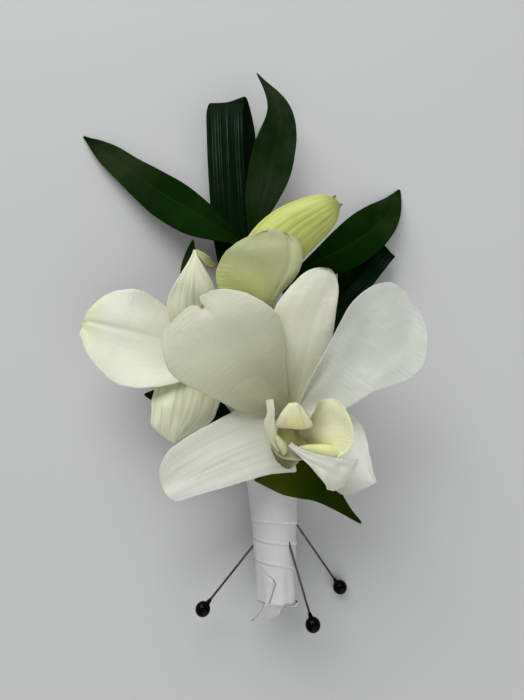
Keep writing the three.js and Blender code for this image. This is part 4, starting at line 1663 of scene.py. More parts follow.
@dataclass
class Foliage:
    """The six leaves and the two folded strap leaves."""

    thickness: float = 0.45
    leaf_margin: float = 0.6
    strap_margin: float = 0.7
    leaf_steps: tuple[int, int] = (22, 70)
    strap_steps: tuple[int, int] = (14, 170)
    upright_steps: tuple[int, int] = (14, 60)
    stalk_steps: tuple[int, int] = (16, 60)
    stalk_radii: tuple[float, ...] = (0.85, 0.85, 0.62)
    stalk_up: Point = (1.0, 0.0, 0.3)
    behind: Edge = Edge(4.6, 0.5, 0.15, 1.3)
    upright: Blade = Blade(
        spine=(
            (5, 52, 7), (12, 61.5, 5.6), (18.8, 69.5, 4.4), (21.8, 77, 4.2), (22.4, 88.4, 4.2),
            (22.6, 97.4, 4.3),
        ),
        face=((0, 0, 1),),
        left=(0.8, 1.6, 2.6, 3.2, 3.3, 3.3, 3.3, 3.2, 1.6),
        right=(0.8, 2.4, 4, 5, 5.3, 5.3, 5.3, 5.2, 3),
        fold=(0.12,),
    )

    def shapes(self) -> tuple[LeafShape, ...]:
        """The leaves with their stalks."""
        return (
            LeafShape(
                "leaf_left",
                ("outer", 225),
                ((-7.5, 60, 8.2), (-10, 85, 9), (-10.9, 99, 9.4), (-13.4, 105, 8.8)),
                leaf_blade(
                    (
                        (-10.7, 102.4, 9), (-22.1, 110.4, 8), (-36.8, 120.4, 5), (-50.6, 131.8, 2.6),
                        (-63.4, 141.9, 0.4),
                    ),
                    (1.6, 7.4, 7.9, 6.6, 5.4, 4.3, 2.5, 0.8, 0.2),
                    (0.8, 4.3, 6.2, 5.8, 4.5, 3.8, 2.3, 0.7, 0.2),
                ),
            ),
            LeafShape(
                "leaf_top",
                ("inner", 330),
                ((-1.5, 60, 11), (-4.5, 82, 10.6), (-7.3, 99, 9.8), (-6.9, 106.5, 9.8)),
                leaf_blade(
                    (
                        (-7.5, 104, 9.6), (-3.7, 117, 10), (-1.1, 129.5, 11), (0.6, 142, 13),
                        (-5.6, 155.4, 13.6),
                    ),
                    (0.8, 5.2, 6.3, 6.0, 4.8, 3.7, 2.4, 1.0, 0.2),
                    (0.8, 4.4, 6.7, 6.9, 6.2, 5.5, 4.2, 2.0, 0.2),
                    face=((0, 0, 1), (0.1, 0, 1), (0.2, 0, 1), (0.8, 0, 1), (1.4, 0.2, 0.8)),
                    wave=0.3,
                ),
            ),
            LeafShape(
                "leaf_right",
                ("outer", 0),
                ((4, 60, 11.5), (3.6, 76, 10.4), (2.6, 86, 9.4), (5, 91, 9.3)),
                leaf_blade(
                    ((3, 89, 9.2), (11, 94.8, 9.8), (23.8, 102, 9), (35.2, 112.4, 5), (40.7, 123.2, 0.42)),
                    (0.8, 2.9, 6.1, 7.3, 6.6, 5.0, 2.7, 1.0, 0.3),
                    (0.8, 5.4, 6.8, 6.6, 5.2, 3.4, 2.1, 1.0, 0.2),
                    wave=0.6,
                ),
            ),
            LeafShape(
                "leaf_bottom",
                ("outer", 90),
                (
                    (-2.6, 45.4, 18.8), (-5.2, 45.4, 21.6), (-7.4, 41, 22.8), (-7.2, 36, 22.1),
                    (-4.4, 32.9, 21.5),
                ),
                leaf_blade(
                    ((-6.2, 32.6, 21.4), (1.8, 32.8, 22.3), (10.3, 30.2, 22.3), (21.5, 21.7, 20.4)),
                    (0.2, 3.3, 6.0, 5.8, 3.2, 1.6, 0.8, 0.4, 0.15),
                    (0.2, 3.5, 3.9, 3.0, 2.2, 1.4, 0.8, 0.4, 0.15),
                    fold=0.1,
                    wave=0.15,
                ),
            ),
            LeafShape(
                "leaf_behind_upper",
                ("inner", 210),
                ((-5.5, 50, 12), (-8, 56, 12.4), (-10, 61, 12.5)),
                leaf_blade(
                    (
                        (-9, 58, 12.5), (-14, 70, 12.8), (-21.4, 82, 11.8), (-25.8, 92, 10.4),
                        (-25.3, 102.9, 8.5),
                    ),
                    self.behind,
                    self.behind,
                ),
            ),
            LeafShape(
                "leaf_behind_lower",
                ("outer", 180),
                ((-9, 46.8, 11), (-12, 49.2, 9.9), (-15, 50.6, 8.8)),
                leaf_blade(
                    ((-13, 49.6, 9.5), (-22, 53.5, 7), (-30, 55.4, 5.6), (-39.2, 56.1, 5)),
                    Edge(6.0, 0.3, 0.6, 1.4),
                    replace(self.behind, at=0.45),
                ),
            ),
        )

    def straps(self) -> tuple[LeafShape, ...]:
        """The strap leaves, each folded over at its far end."""
        return (
            LeafShape(
                "strap_loop_upper",
                ("outer", 270),
                ((-2.4, 47, 7), (-3.2, 52, 6.6)),
                Blade(
                    spine=(
                        (-2.4, 47, 7.4), (-5, 62, 6.4), (-8.8, 82, 6), (-13.3, 104, 6.2), (-15, 122, 7.2),
                        (-15.8, 138, 8.6), (-15.9, 146, 9), (-14.9, 150.2, 6.8), (-13.2, 146, 4.4),
                        (-11.6, 136, 3.4), (-10.8, 120, 3), (-9.2, 98, 3.2), (-6, 72, 4), (-3.6, 56, 5.2),
                        (-2.4, 47, 6.6),
                    ),
                    across=((1, 0.1, 0), (1, 0.14, 0), (1, 0.1, 0)),
                    halves=(1, 3.4, 5, 5.8, 5.9, 5.9, 5.9, 5.8, 5.6, 5.5, 5.4, 5, 3.4, 1),
                ),
            ),
            LeafShape(
                "strap_loop_right",
                ("outer", 315),
                ((3, 47, 8), (5, 51, 7.4)),
                Blade(
                    spine=(
                        (3, 47, 8.2), (8.4, 60, 6.6), (16, 74, 5.8), (22.6, 85, 5.6), (28.4, 92, 5.6),
                        (33.6, 98.6, 5.4), (35.6, 101.2, 4.2), (30.4, 98.2, 2.8), (22.6, 91.6, 2.6),
                        (17, 81, 2.8), (11.2, 68, 4), (6, 56, 6), (3, 47, 7.6),
                    ),
                    across=((1, -0.4, 0), (1, -0.8, 0), (1, -0.4, 0)),
                    halves=(1, 2.2, 2.6, 2.6, 2.6, 2.6, 2.6, 2.6, 2.2, 1),
                ),
            ),
        )

    def build(self, finishes: "Finishes") -> None:
        """Builds and dresses the leaves.

        Args:
            finishes: the part's finishes.
        """
        special = {"leaf_top": finishes.painted_sheen_leaf, "leaf_bottom": finishes.low_leaf}
        for shape in self.shapes():
            name = f"{shape.name}_blade"
            blade = thin_piece(name, shape.blade.place, self.thickness, self.leaf_steps, self.leaf_margin)
            self.dress(blade, shape, special.get(shape.name, finishes.leaf), Slot.LEAF)
        for shape in self.straps():
            name = f"{shape.name}_blade"
            blade = thin_piece(
                name, shape.blade.place, self.thickness, self.strap_steps, self.strap_margin, evenly
            )
            self.dress(blade, shape, finishes.strap, Slot.STRAP)
        upright = thin_piece(
            "strap_upright_blade", self.upright.place, self.thickness, self.upright_steps, self.leaf_margin
        )
        settle(upright, finishes.strap, Slot.STRAP, "strap_loop_right")

    def dress(self, blade: Piece, shape: LeafShape, finish: Material, slot: Slot) -> None:
        """Dresses a leaf's blade, and builds and dresses its stalk.

        Args:
            blade: its blade.
            shape: its shape.
            finish: its finish.
            slot: the record's slot for it.
        """
        settle(blade, finish, slot, shape.name)
        tube = Tube(rooted(*shape.root) + shape.stalk, self.stalk_radii, up=self.stalk_up)
        settle(round_piece(f"{shape.name}_stalk", tube, self.stalk_steps), finish, slot, shape.name)


# Blooms


@dataclass
class FrontBloom:
    """The open bloom that faces up."""

    thickness: float = 0.55
    lip_thickness: float = 0.45
    foot_thickness: float = 0.6
    foot_steps: tuple[int, int] = (16, 24)
    cap_steps: tuple[int, int] = (84, 36)
    dorsal: Blade = Blade(
        spine=((3.7, 50.6, 27.6), (4.8, 58, 28.2), (7.1, 71, 29.6), (11.8, 82.1, 30.8), (13.5, 86.5, 31)),
        face=((0, -0.1, 1), (0.1, 0.1, 1)),
        left=(1.8, 4.6, 7.3, 9.4, 8.9, 7.6, 6.3, 4, 0.3),
        right=(1.6, 4, 6.4, 7.1, 6.1, 4.9, 3.7, 2, 0.3),
        cup=(0.3, -0.3),
        reliefs=(Uneven(3, 0.25), Dent(-0.5, 0.5, 0.1, 0.3, 0.35), Ripple(0.3, 1.4, 0.2, 1)),
        ribs=5,
        rib_height=0.04,
        waver=0.01,
    )
    petal_left: Blade = Blade(
        spine=(
            (2.6, 51.3, 28.7), (-4.2, 56.9, 32.6), (-10.3, 64.7, 35.4), (-15.6, 71.8, 36.4),
            (-20.3, 77.3, 36.2),
        ),
        face=((0.4, -0.3, 1), (-0.1, 0.1, 1)),
        left=(3.2, 8, 11.4, 14.8, 16.4, 15.6, 14.4, 12.7, 10.2),
        right=(0.1, 6.8, 11.3, 13.5, 12.7, 10.8, 8.3, 5.8, 2.8),
        cup=(0.1, -0.25),
        reliefs=(
            Uneven(11, 0.35, 1.8, 0.9),
            Ripple(0.4, 1.6, 0.15, 1, 4.0),
            Ripple(0.4, 1.9, 0.55, -1, 4.0),
            Dent(-0.6, 0.5, -0.05, 0.3, 0.3),
            Dent(-0.3, 0.97, 0.0, 0.08, 0.12),
        ),
        waver=0.008,
        nick=2.0,
        bow=0.5,
    )
    petal_right: Blade = Blade(
        spine=(
            (5.2, 51.2, 29.1), (12.8, 58.8, 31), (20.8, 67.5, 32.4), (27.6, 75.4, 32.6), (31.8, 80.8, 31.8),
        ),
        face=((-0.3, -0.3, 1), (0, 0, 1)),
        left=(0.5, 3.6, 5.4, 7.2, 8.3, 7.8, 6.7, 5.1, 3.5),
        right=(4, 8.6, 10.9, 14.8, 15.1, 12.4, 8.4, 3.6, 1),
        cup=(0.5, 0.3),
        reliefs=(
            Uneven(23, 0.35, 1.8, 0.9),
            Ripple(0.9, 0, 0.25, 1, 3.0),
            Ripple(0.45, 1.5, 0.35, 1, 4.0),
            Ripple(0.4, 1.8, 0.1, -1, 4.0),
            Crease((0.61, 0.52), (0.86, 0.68), 5.0, 0.015, 0.25),
        ),
        waver=0.008,
        nick=0.35,
        bow=0.3,
    )
    sepal_left: Blade = Blade(
        spine=(
            (3.2, 44.5, 26.8), (-4.2, 42.9, 28.2), (-12.6, 39.9, 29.2), (-20.6, 35.8, 29.4),
            (-28.7, 31.1, 28.6),
        ),
        face=((0, -0.2, 1), (0, -0.1, 1)),
        left=(10.2, 9.1, 8.5, 7.8, 6.7, 5.8, 5.2, 4.8, 4.3),
        right=(7.7, 10.1, 8.9, 8.3, 8, 7.6, 6.4, 5.0, 3.5),
        cup=(-0.2, 0.1),
        reliefs=(
            Uneven(31, 0.3, 1.8, 0.8),
            Ripple(0.3, 1.6, 0.2, -1),
            Crease((0.3, 1.0), (0.36, 0.35), 3.0, 0.02, 0.12),
        ),
        ribs=5,
        rib_height=0.06,
        waver=0.01,
        bow=1.2,
    )
    sepal_right: Blade = Blade(
        spine=((4, 46.5, 26.8), (10, 45.4, 27.6), (16.7, 44, 28), (20.3, 38, 27.8), (24.2, 32.6, 27)),
        face=((0.1, 0, 1), (0.1, -0.1, 1)),
        left=(3, 5.3, 6.4, 4.8, 3.4, 2.2, 1, 0.4, 0.2),
        right=(3, 8.4, 11.4, 11.2, 10.7, 9.6, 8.9, 7.8, 6.5),
        cup=(-0.2, -0.25),
        reliefs=(Uneven(41, 0.25), Ripple(0.3, 1.4, 0.1, -1), Crease((0.85, 0.4), (1.0, -0.02), -9.0, 0.012)),
        ribs=4,
        rib_height=0.04,
        waver=0.01,
    )
    chin: Tube = Tube(
        spine=((3.9, 53.4, 25.4), (3.8, 51, 25.4), (3.5, 47, 25.8), (3.1, 42, 27), (2.7, 38.2, 29)),
        radii=(1.4, 2.3, 2.9, 3.3, 1.7),
        ends=(0.1, 0.1),
    )
    pouch: Blade = Blade(
        spine=((2.3, 41.9, 30.2), (2.2, 40.3, 30.8), (2.2, 38.7, 31), (2.3, 37.3, 30.8), (2.3, 36.1, 30)),
        face=((0, 0, 1),),
        left=(4.6, 4.4, 4, 3.7, 3.1, 2.3, 1.6, 1, 0.5),
        right=(4.6, 4.2, 3.8, 3.3, 2.8, 2.3, 1.9, 1.2, 0.6),
        cup=(-0.6,),
        waver=0.01,
    )
    claw: Blade = Blade(
        spine=((3.3, 39.2, 29.4), (3.6, 39.2, 32), (4.6, 39.9, 35.2), (6.4, 40.2, 37.4)),
        face=((0, 1, 0.4), (-0.1, 0.5, 1)),
        halves=(1.4, 1.4, 1.8, 1.6),
        cup=(0.5, 0.3),
    )
    saddle: Blade = Blade(
        spine=(
            (-1.7, 42.6, 36.6), (-0.4, 40.8, 36.6), (1.6, 39.7, 36.8), (4.6, 39.8, 37.4), (8.6, 40.6, 37.2),
        ),
        face=((0, 0.5, 1),),
        halves=(0.9, 1.3, 1.5, 1.6, 1.2),
        cup=(0.6,),
        reliefs=(Ripple(0.2, 2.6, 0.1),),
    )
    lobe_left: Blade = Blade(
        spine=((0.2, 41, 37.4), (-1.7, 43.6, 38.8), (-2.5, 46.8, 39.8), (-2.2, 49.7, 40.6), (-2.5, 52.3, 41)),
        face=((0.2, 0, 1),),
        left=(1, 1, 0.9, 1.3, 0.9, 0.9, 0.9, 0.9, 0.8),
        right=(1.9, 1.6, 1.2, 1.4, 1.1, 0.9, 0.9, 0.9, 0.7),
        cup=(0.2,),
        reliefs=(Ripple(0.15, 2.5, 0.1, 1), Ripple(0.15, 2.2, 0.3, -1)),
    )
    curl: Blade = Blade(
        spine=((-1, 44.2, 38.9), (0, 42.9, 39.3), (0.9, 41.3, 39.1), (0.9, 39.7, 38.2)),
        face=((0.6, 0.2, 1), (0.3, 0.3, 1)),
        halves=(0.3, 0.9, 1.2, 1.0, 0.2),
        cup=(-1.0,),
    )
    lobe_right: Blade = Blade(
        spine=(
            (10.6, 39.5, 37), (11.5, 42.8, 37.8), (12.2, 46.2, 38.8), (11.9, 49.4, 39.8),
            (11.1, 52.5, 40.6),
        ),
        face=((-0.35, 0.1, 1), (-0.3, -0.1, 1)),
        left=(3, 7, 7.4, 6.4, 5.2, 4.4, 3.6, 3.2, 2.8),
        right=(2.4, 5, 5.8, 4.9, 4.1, 3.4, 2.7, 2.2, 1.8),
        cup=(0.55, 0.2),
        reliefs=(Ripple(0.15, 2.2, 0.2, 1, 3.0), Ripple(0.2, 2.0, 0.6, -1, 3.0), Uneven(53, 0.15)),
        waver=0.015,
        bow=0.7,
    )
    mid_lobe: Blade = Blade(
        spine=(
            (2.1, 42.1, 38.6), (4.8, 40, 39.6), (7.8, 38.2, 40), (10.9, 36.3, 40), (13.3, 34.8, 39.2),
            (15, 33.4, 38),
        ),
        face=((-0.1, 0.3, 1), (0.1, -0.1, 1)),
        left=(0.7, 1.1, 2.0, 2.9, 3.7, 4.4, 5.4, 6.4, 6.2),
        right=(0.4, 0.7, 1.3, 2.1, 2.9, 3.9, 3.7, 3.2, 2.4),
        cup=(-0.2, -0.3),
        reliefs=(
            Ripple(0.3, 3.1, 0.1, 1, 3.0),
            Ripple(0.35, 3.3, 0.4, -1, 3.0),
            Uneven(61, 0.2),
            Dent(-0.6, 0.8, -0.5, 0.07, 0.25),
            Dent(0.6, 0.93, -0.85, 0.08, 0.2),
        ),
        waver=0.02,
        nick=0.4,
        bow=0.5,
    )
    ridge: Tube = Tube(
        spine=((4.2, 41.5, 38.9), (7.4, 41.2, 39.1), (10.5, 40.7, 39), (14, 39.8, 38)),
        radii=(0.4, 1.0, 1.4, 1.3),
        ends=(0.2, 0.4),
    )
    post: Tube = Tube(
        spine=((3.7, 49.6, 26.6), (3.6, 49.2, 31), (3.4, 48.4, 35), (3.3, 47.6, 38)),
        radii=(1.6, 1.8, 2.5, 2.4),
        up=(0.0, 1.0, 0.0),
        ends=(0.05, 0.08),
    )
    column_foot: Blade = Blade(
        spine=((3.2, 48.4, 31), (3, 45, 31), (2.7, 42, 30.9), (2.5, 39.4, 30.9)),
        face=((0, 0, 1),),
        halves=(2.8, 3.6, 4.2, 2.6),
        cup=(0.5,),
        reliefs=(Dent(-0.5, 0.3, -0.1, 0.2, 0.3),),
    )
    own_finish: tuple[str, ...] = ("saddle", "curl", "lobe_right", "mid_lobe")
    cap_base: Point = (2.85, 48.8, 39.0)
    cap_scales: tuple[float, ...] = (0, 0.6, 0.93, 1, 1, 0.95, 0.84, 0.62, 0.34, 0)
    cap_heights: tuple[float, ...] = (0, 0, 0.15, 0.6, 1.2, 1.7, 2.05, 2.35, 2.5, 2.55)
    cap_facet_height: float = 0.55
    cap_outline: tuple[tuple[float, float], ...] = (
        (-0.9, 2.75), (1.2, 2.75), (3.3, 0.3), (4.6, -2.3), (3.9, -2.9), (1.8, -3.3), (-0.6, -3.1),
        (-2.9, -2.95), (-3.9, -2.6), (-2.8, 0.3),
    )

    def build(self, finishes: "Finishes") -> None:
        """Builds and dresses the bloom.

        Args:
            finishes: the part's finishes.
        """
        node = "front_bloom_tepals"
        for name in ("dorsal", "petal_left", "petal_right", "sepal_left", "sepal_right"):
            tepal = thin_piece(f"front_{name}", getattr(self, name).place, self.thickness)
            settle(tepal, getattr(finishes, name), Slot.PETAL, node)
        settle(round_piece("front_chin", self.chin), finishes.chin, Slot.PETAL, node)
        pouch = thin_piece("front_pouch", self.pouch.place, self.lip_thickness)
        settle(pouch, finishes.pouch, Slot.PETAL, node)
        for name in ("claw", "saddle", "lobe_left", "curl", "lobe_right", "mid_lobe"):
            lobe = thin_piece(f"front_lip_{name}", getattr(self, name).place, self.lip_thickness)
            finish = getattr(finishes, name) if name in self.own_finish else finishes.lip
            settle(lobe, finish, Slot.LIP, "front_bloom_lip")
        settle(round_piece("front_lip_ridge", self.ridge), finishes.ridge, Slot.LIP, "front_bloom_lip")
        post = round_piece("front_column_post", self.post)
        settle(post, finishes.column, Slot.COLUMN, "front_bloom_column")
        foot = thin_piece("front_column_foot", self.column_foot.place, self.foot_thickness, self.foot_steps)
        settle(foot, finishes.column, Slot.COLUMN, "front_bloom_column")
        cap = close_up(shaped_grid("front_anther_cap", self.cap_steps, self.cap_place, evenly))
        settle(cap, finishes.cap, Slot.CAP, "front_bloom_anther_cap")

    def cap_place(self, t: Array, side: Array) -> Array:
        """The anther cap: a rounded triangle with a flat underside and three facets on top.

        Args:
            t: shares of the way from the middle of its underside to its top.
            side: from -1 to 1 once round.

        Returns:
            Points in millimetres.
        """
        outline = Spine([(x, y, 0.0) for x, y in (*self.cap_outline, self.cap_outline[0])])
        ring = outline.at((side + 1) / 2)
        scale = spread(self.cap_scales, t)
        x, y = ring[..., 0] * scale, ring[..., 1] * scale
        middle = np.exp(-(((x - 0.75) / (0.5 + 0.25 * (2.7 - y))) ** 8))
        height = spread(self.cap_heights, t) + self.cap_facet_height * middle * smooth(0.3, 0.6, t)
        return np.stack([x, y, height], axis=-1) + np.array(self.cap_base)


@dataclass
class BackBloom:
    """The bloom behind, which shows its outside."""

    thickness: float = 0.55
    lip_thickness: float = 0.5
    tip_steps: tuple[int, int] = (16, 30)
    petal_left: Blade = Blade(
        spine=((-21.6, 68.4, 18.5), (-33, 70, 20), (-43.5, 72.4, 20.8), (-53.7, 75.2, 19.2)),
        face=((0, 0.35, 1), (0, 0.2, 1), (0, 0, 1), (0, 0, 1)),
        left=(9, 12.6, 14.2, 14.5, 12.8, 10.2, 7.6, 4.9, 3.6),
        right=(3.6, 9.7, 11.5, 12.9, 12.3, 11.1, 9.4, 7.1, 4.6),
        cup=(-0.2,),
        reliefs=(
            Uneven(71, 0.35, 1.8, 0.9),
            Ripple(0.6, 0, 0.25, -1, 2.0),
            Ripple(0.4, 1.4, 0.2, 1, 4.0),
            Ripple(0.4, 1.5, 0.7, -1, 4.0),
            Dent(-0.5, 0.75, 0.05, 0.35, 0.07),
        ),
        waver=0.01,
        bow=0.7,
    )
    sepal_upper: Blade = Blade(
        spine=(
            (-22, 69, 18.5), (-23.4, 78.6, 21.5), (-23, 84.9, 23), (-22.9, 90.5, 23.2), (-22.9, 94.8, 22.4),
        ),
        face=((0, -0.3, 1), (0, -0.1, 1), (0, 0.1, 1), (0, 0.3, 1)),
        left=(3, 5.5, 7, 6.1, 4.3, 2.4, 1.1, 0.4, 0.2),
        right=(3, 5.4, 6.8, 6.4, 4.7, 2.8, 1.3, 0.5, 0.2),
        cup=(-0.3,),
        reliefs=(Uneven(83, 0.2),),
        ribs=6,
        rib_height=0.07,
        waver=0.01,
    )
    turned_tip: Blade = Blade(
        spine=((-22.5, 94.9, 22.2), (-20.5, 93.4, 22.4), (-18.6, 91.8, 21.6), (-16.8, 91.1, 20.2)),
        face=((0.3, 0.6, 1), (0.4, 0.6, 1)),
        left=(0.2, 0.8, 0.9, 0.9, 0.7, 0.3, 0.2),
        right=(0.2, 1.6, 2.5, 3.4, 1.6, 0.5, 0.2),
        cup=(0.4,),
        reliefs=(Ripple(0.2, 1.6, 0.3),),
    )
    sepal_lower: Blade = Blade(
        spine=(
            (-22, 67, 17.5), (-24.3, 57.2, 19.4), (-25.4, 50.7, 21), (-26.8, 45.8, 20.2),
            (-27.7, 42.3, 18.4),
        ),
        face=((0, 0.3, 1), (0, 0, 1), (0, -0.3, 1)),
        left=(2.8, 7.9, 9.3, 9.3, 8.2, 5.2, 2.8, 0.9, 0.3),
        right=(3.4, 7.7, 9, 9.2, 8.7, 8, 7.1, 4.1, 2),
        cup=(-0.3,),
        reliefs=(Uneven(91, 0.25),),
        ribs=6,
        rib_height=0.06,
        waver=0.012,
    )
    petal_right: Blade = Blade(
        spine=((-21.6, 68, 18.6), (-14, 69.2, 20.2), (-6.5, 70.4, 21), (1, 71.8, 20.8)),
        face=((0, 0, 1),),
        left=Edge(6.6, 0.6, 0.3, 2.2),
        right=Edge(7, 0.6, 0.3, 2.2),
        cup=(-0.3,),
    )
    sepal_inner: Blade = Blade(
        spine=((-22, 67, 17.6), (-16, 63, 16.6), (-9.6, 60, 15.4)),
        face=((0, 0, 1),),
        left=Edge(5, 0.5, 0.6, 1.9),
        right=Edge(5, 0.5, 0.6, 1.9),
        cup=(-0.4,),
    )
    chin: Tube = Tube(
        spine=((-22.4, 70.4, 17.4), (-22.2, 68.2, 18.4), (-21.6, 66, 19.6), (-20.6, 63.4, 20.6)),
        radii=(1.6, 2.8, 2.6, 1.2),
        ends=(0.12, 0.12),
    )
    post: Tube = Tube(
        spine=((-22.4, 68, 18), (-22.8, 67.4, 14), (-23.4, 66.6, 10)),
        radii=(1.4, 1.7, 2.2),
        up=(0.0, 1.0, 0.0),
        ends=(0.1, 0.15),
    )
    lip: Blade = Blade(
        spine=((-22, 63.8, 17.4), (-22.4, 63.2, 14.8), (-24, 62, 12), (-27, 61.4, 10)),
        face=((0, 1, -0.3), (0, 1, -1), (0, 0.4, -1)),
        left=Edge(5.4, 0.6, 0.3, 1.8),
        right=Edge(5.4, 0.6, 0.3, 1.8),
        cup=(0.9, 0.5),
        reliefs=(Ripple(0.35, 2.4, 0.1, 1), Ripple(0.35, 2.4, 0.5, -1)),
    )

    def build(self, finishes: "Finishes") -> None:
        """Builds and dresses the bloom.

        Args:
            finishes: the part's finishes.
        """
        node = "back_bloom_tepals"
        for name in ("petal_left", "petal_right"):
            petal = thin_piece(f"back_{name}", getattr(self, name).place, self.thickness)
            settle(petal, finishes.back_petal, Slot.PETAL_OUTSIDE, node)
        for name in ("sepal_upper", "sepal_lower", "sepal_inner"):
            sepal = thin_piece(f"back_{name}", getattr(self, name).place, self.thickness)
            settle(sepal, finishes.striped, Slot.PETAL_OUTSIDE, node)
        tip = thin_piece("back_turned_tip", self.turned_tip.place, self.lip_thickness, self.tip_steps)
        settle(tip, finishes.olive_and_painted_shade, Slot.PETAL_OUTSIDE, node)
        settle(round_piece("back_chin", self.chin), finishes.striped, Slot.PETAL_OUTSIDE, node)
        settle(round_piece("back_column_post", self.post), finishes.column, Slot.COLUMN, "back_bloom_column")
        lip = thin_piece("back_lip_blade", self.lip.place, self.lip_thickness)
        settle(lip, finishes.lip, Slot.LIP, "back_bloom_lip")


@dataclass
class HalfOpenBud:
    """The bud, whose outer sepal has opened."""

    spine: tuple[Point, ...] = (
        (-9.8, 80.6, 18.8), (-5.4, 90.4, 20), (2.6, 99, 21.4), (11.3, 104.8, 22.8), (17.2, 108.2, 23.6),
    )
    radii: tuple[float, ...] = (2.1, 4.2, 6.1, 7.3, 7.8, 7.5, 6.6, 5.2, 2.6)
    laps: tuple[float, ...] = (-0.62, -0.16, 0.22, 0.7)
    twist: float = 0.1
    steps: tuple[int, int] = (150, 90)
    point_steps: tuple[int, int] = (16, 20)
    lap_height: float = 0.035
    grooves: int = 22
    groove_depth: float = 0.012
    outer_thickness: float = 0.5
    point_radii: tuple[float, ...] = (1.3, 0.8, 0.2)
    points: tuple[tuple[Point, ...], ...] = (
        ((13.4, 106.6, 24.4), (15.2, 108.6, 24.8), (16.4, 110.0, 24.4)),
        ((14.6, 105.6, 24.2), (16.8, 106.8, 24.4), (18.2, 107.7, 23.8)),
    )
    outer: Blade = Blade(
        spine=(
            (-4.4, 77, 24.4), (-4.4, 80.4, 26.8), (-3.8, 85.5, 28.6), (-2.6, 91.5, 29.6),
            (-1.7, 98.2, 29.3),
        ),
        face=((0, -0.6, 1), (0, 0, 1), (0, 0.2, 1)),
        left=(8, 12, 13.2, 12.5, 10.8, 8.8, 6.2, 3.5, 1.2),
        right=(3, 5, 7.7, 9.1, 9.4, 9, 8, 6.5, 4),
        cup=(-0.5, -0.3),
        reliefs=(
            Uneven(97, 0.25),
            Ripple(0.3, 1.5, 0.3, 1, 4.0),
            Ripple(0.3, 1.7, 0.1, -1, 4.0),
            Dent(-0.5, 0.75, 0.62, 0.5, 0.06),
            Dent(0.5, 0.75, 0.85, 0.5, 0.12),
        ),
        waver=0.008,
        bow=0.6,
    )

    def folds(self, t: Array, side: Array) -> Array:
        """The laps where one closed tepal lies over the next.

        Args:
            t: shares of the length.
            side: from -1 to 1 once round.

        Returns:
            What the radius is multiplied by.
        """
        twisted = side + self.twist * (t - 0.5)
        steps = self.groove_depth * np.cos(self.grooves * np.pi * side)
        for lap in self.laps:
            past = twisted - lap
            steps = steps + self.lap_height * (smooth(-0.02, 0.02, past) - smooth(0.0, 0.3, past))
        return 1 + np.sin(np.pi * t) ** 0.5 * steps

    def build(self, finishes: "Finishes") -> None:
        """Builds and dresses the bud.

        Args:
            finishes: the part's finishes.
        """
        body = Tube(self.spine, self.radii, ends=(0.03, 0.09), relief=self.folds)
        settle(round_piece("bud_body", body, self.steps), finishes.bud, Slot.BUD, "bud")
        for number, way in enumerate(self.points, 1):
            tube = Tube(way, self.point_radii, ends=(0.1, 0.1))
            point = round_piece(f"bud_point_{number}", tube, self.point_steps)
            settle(point, finishes.olive_and_painted_shade, Slot.BUD, "bud")
        outer = thin_piece("bud_outer_blade", self.outer.place, self.outer_thickness)
        settle(outer, finishes.bud_sepal, Slot.BUD_SEPAL, "bud_outer_sepal")


@dataclass
class Pedicels:
    """The stalks of the blooms and the bud."""

    radii: tuple[float, ...] = (1.05, 1.05, 1.1025)
    up: Point = (1.0, 0.0, 0.2)
    steps: tuple[int, int] = (20, 60)
    ways: tuple[tuple[str, tuple[str, float], tuple[Point, ...]], ...] = (
        ("front_bloom", ("outer", 45), ((2.4, 46.4, 17.6), (3.6, 50, 20.8), (3.8, 51.2, 25.6))),
        (
            "back_bloom",
            ("outer", 135),
            ((-6.8, 49, 18.6), (-11, 57.4, 22.2), (-17, 63.4, 24.6), (-20.6, 65.6, 23), (-21.6, 66.6, 19.8)),
        ),
        ("bud", ("inner", 90), ((-2.6, 55, 16), (-5.6, 68, 17.4), (-9, 77.4, 18.2), (-10, 81.4, 19))),
    )

    def build(self, finishes: "Finishes") -> None:
        """Builds and dresses the stalks.

        Args:
            finishes: the part's finishes.
        """
        for name, root, way in self.ways:
            tube = Tube(rooted(*root) + way, self.radii, up=self.up)
            stalk = round_piece(f"{name}_stalk", tube, self.steps)
            settle(stalk, finishes.pedicel, Slot.PEDICEL, f"{name}_pedicel")


class Finish(Protocol):
    """Anything that makes a material."""

    def build(self) -> Material:
        """Makes the material."""


def made(finish: Finish) -> Material:
    """A field of Finishes that holds a finish's material."""
    return field(default_factory=finish.build)


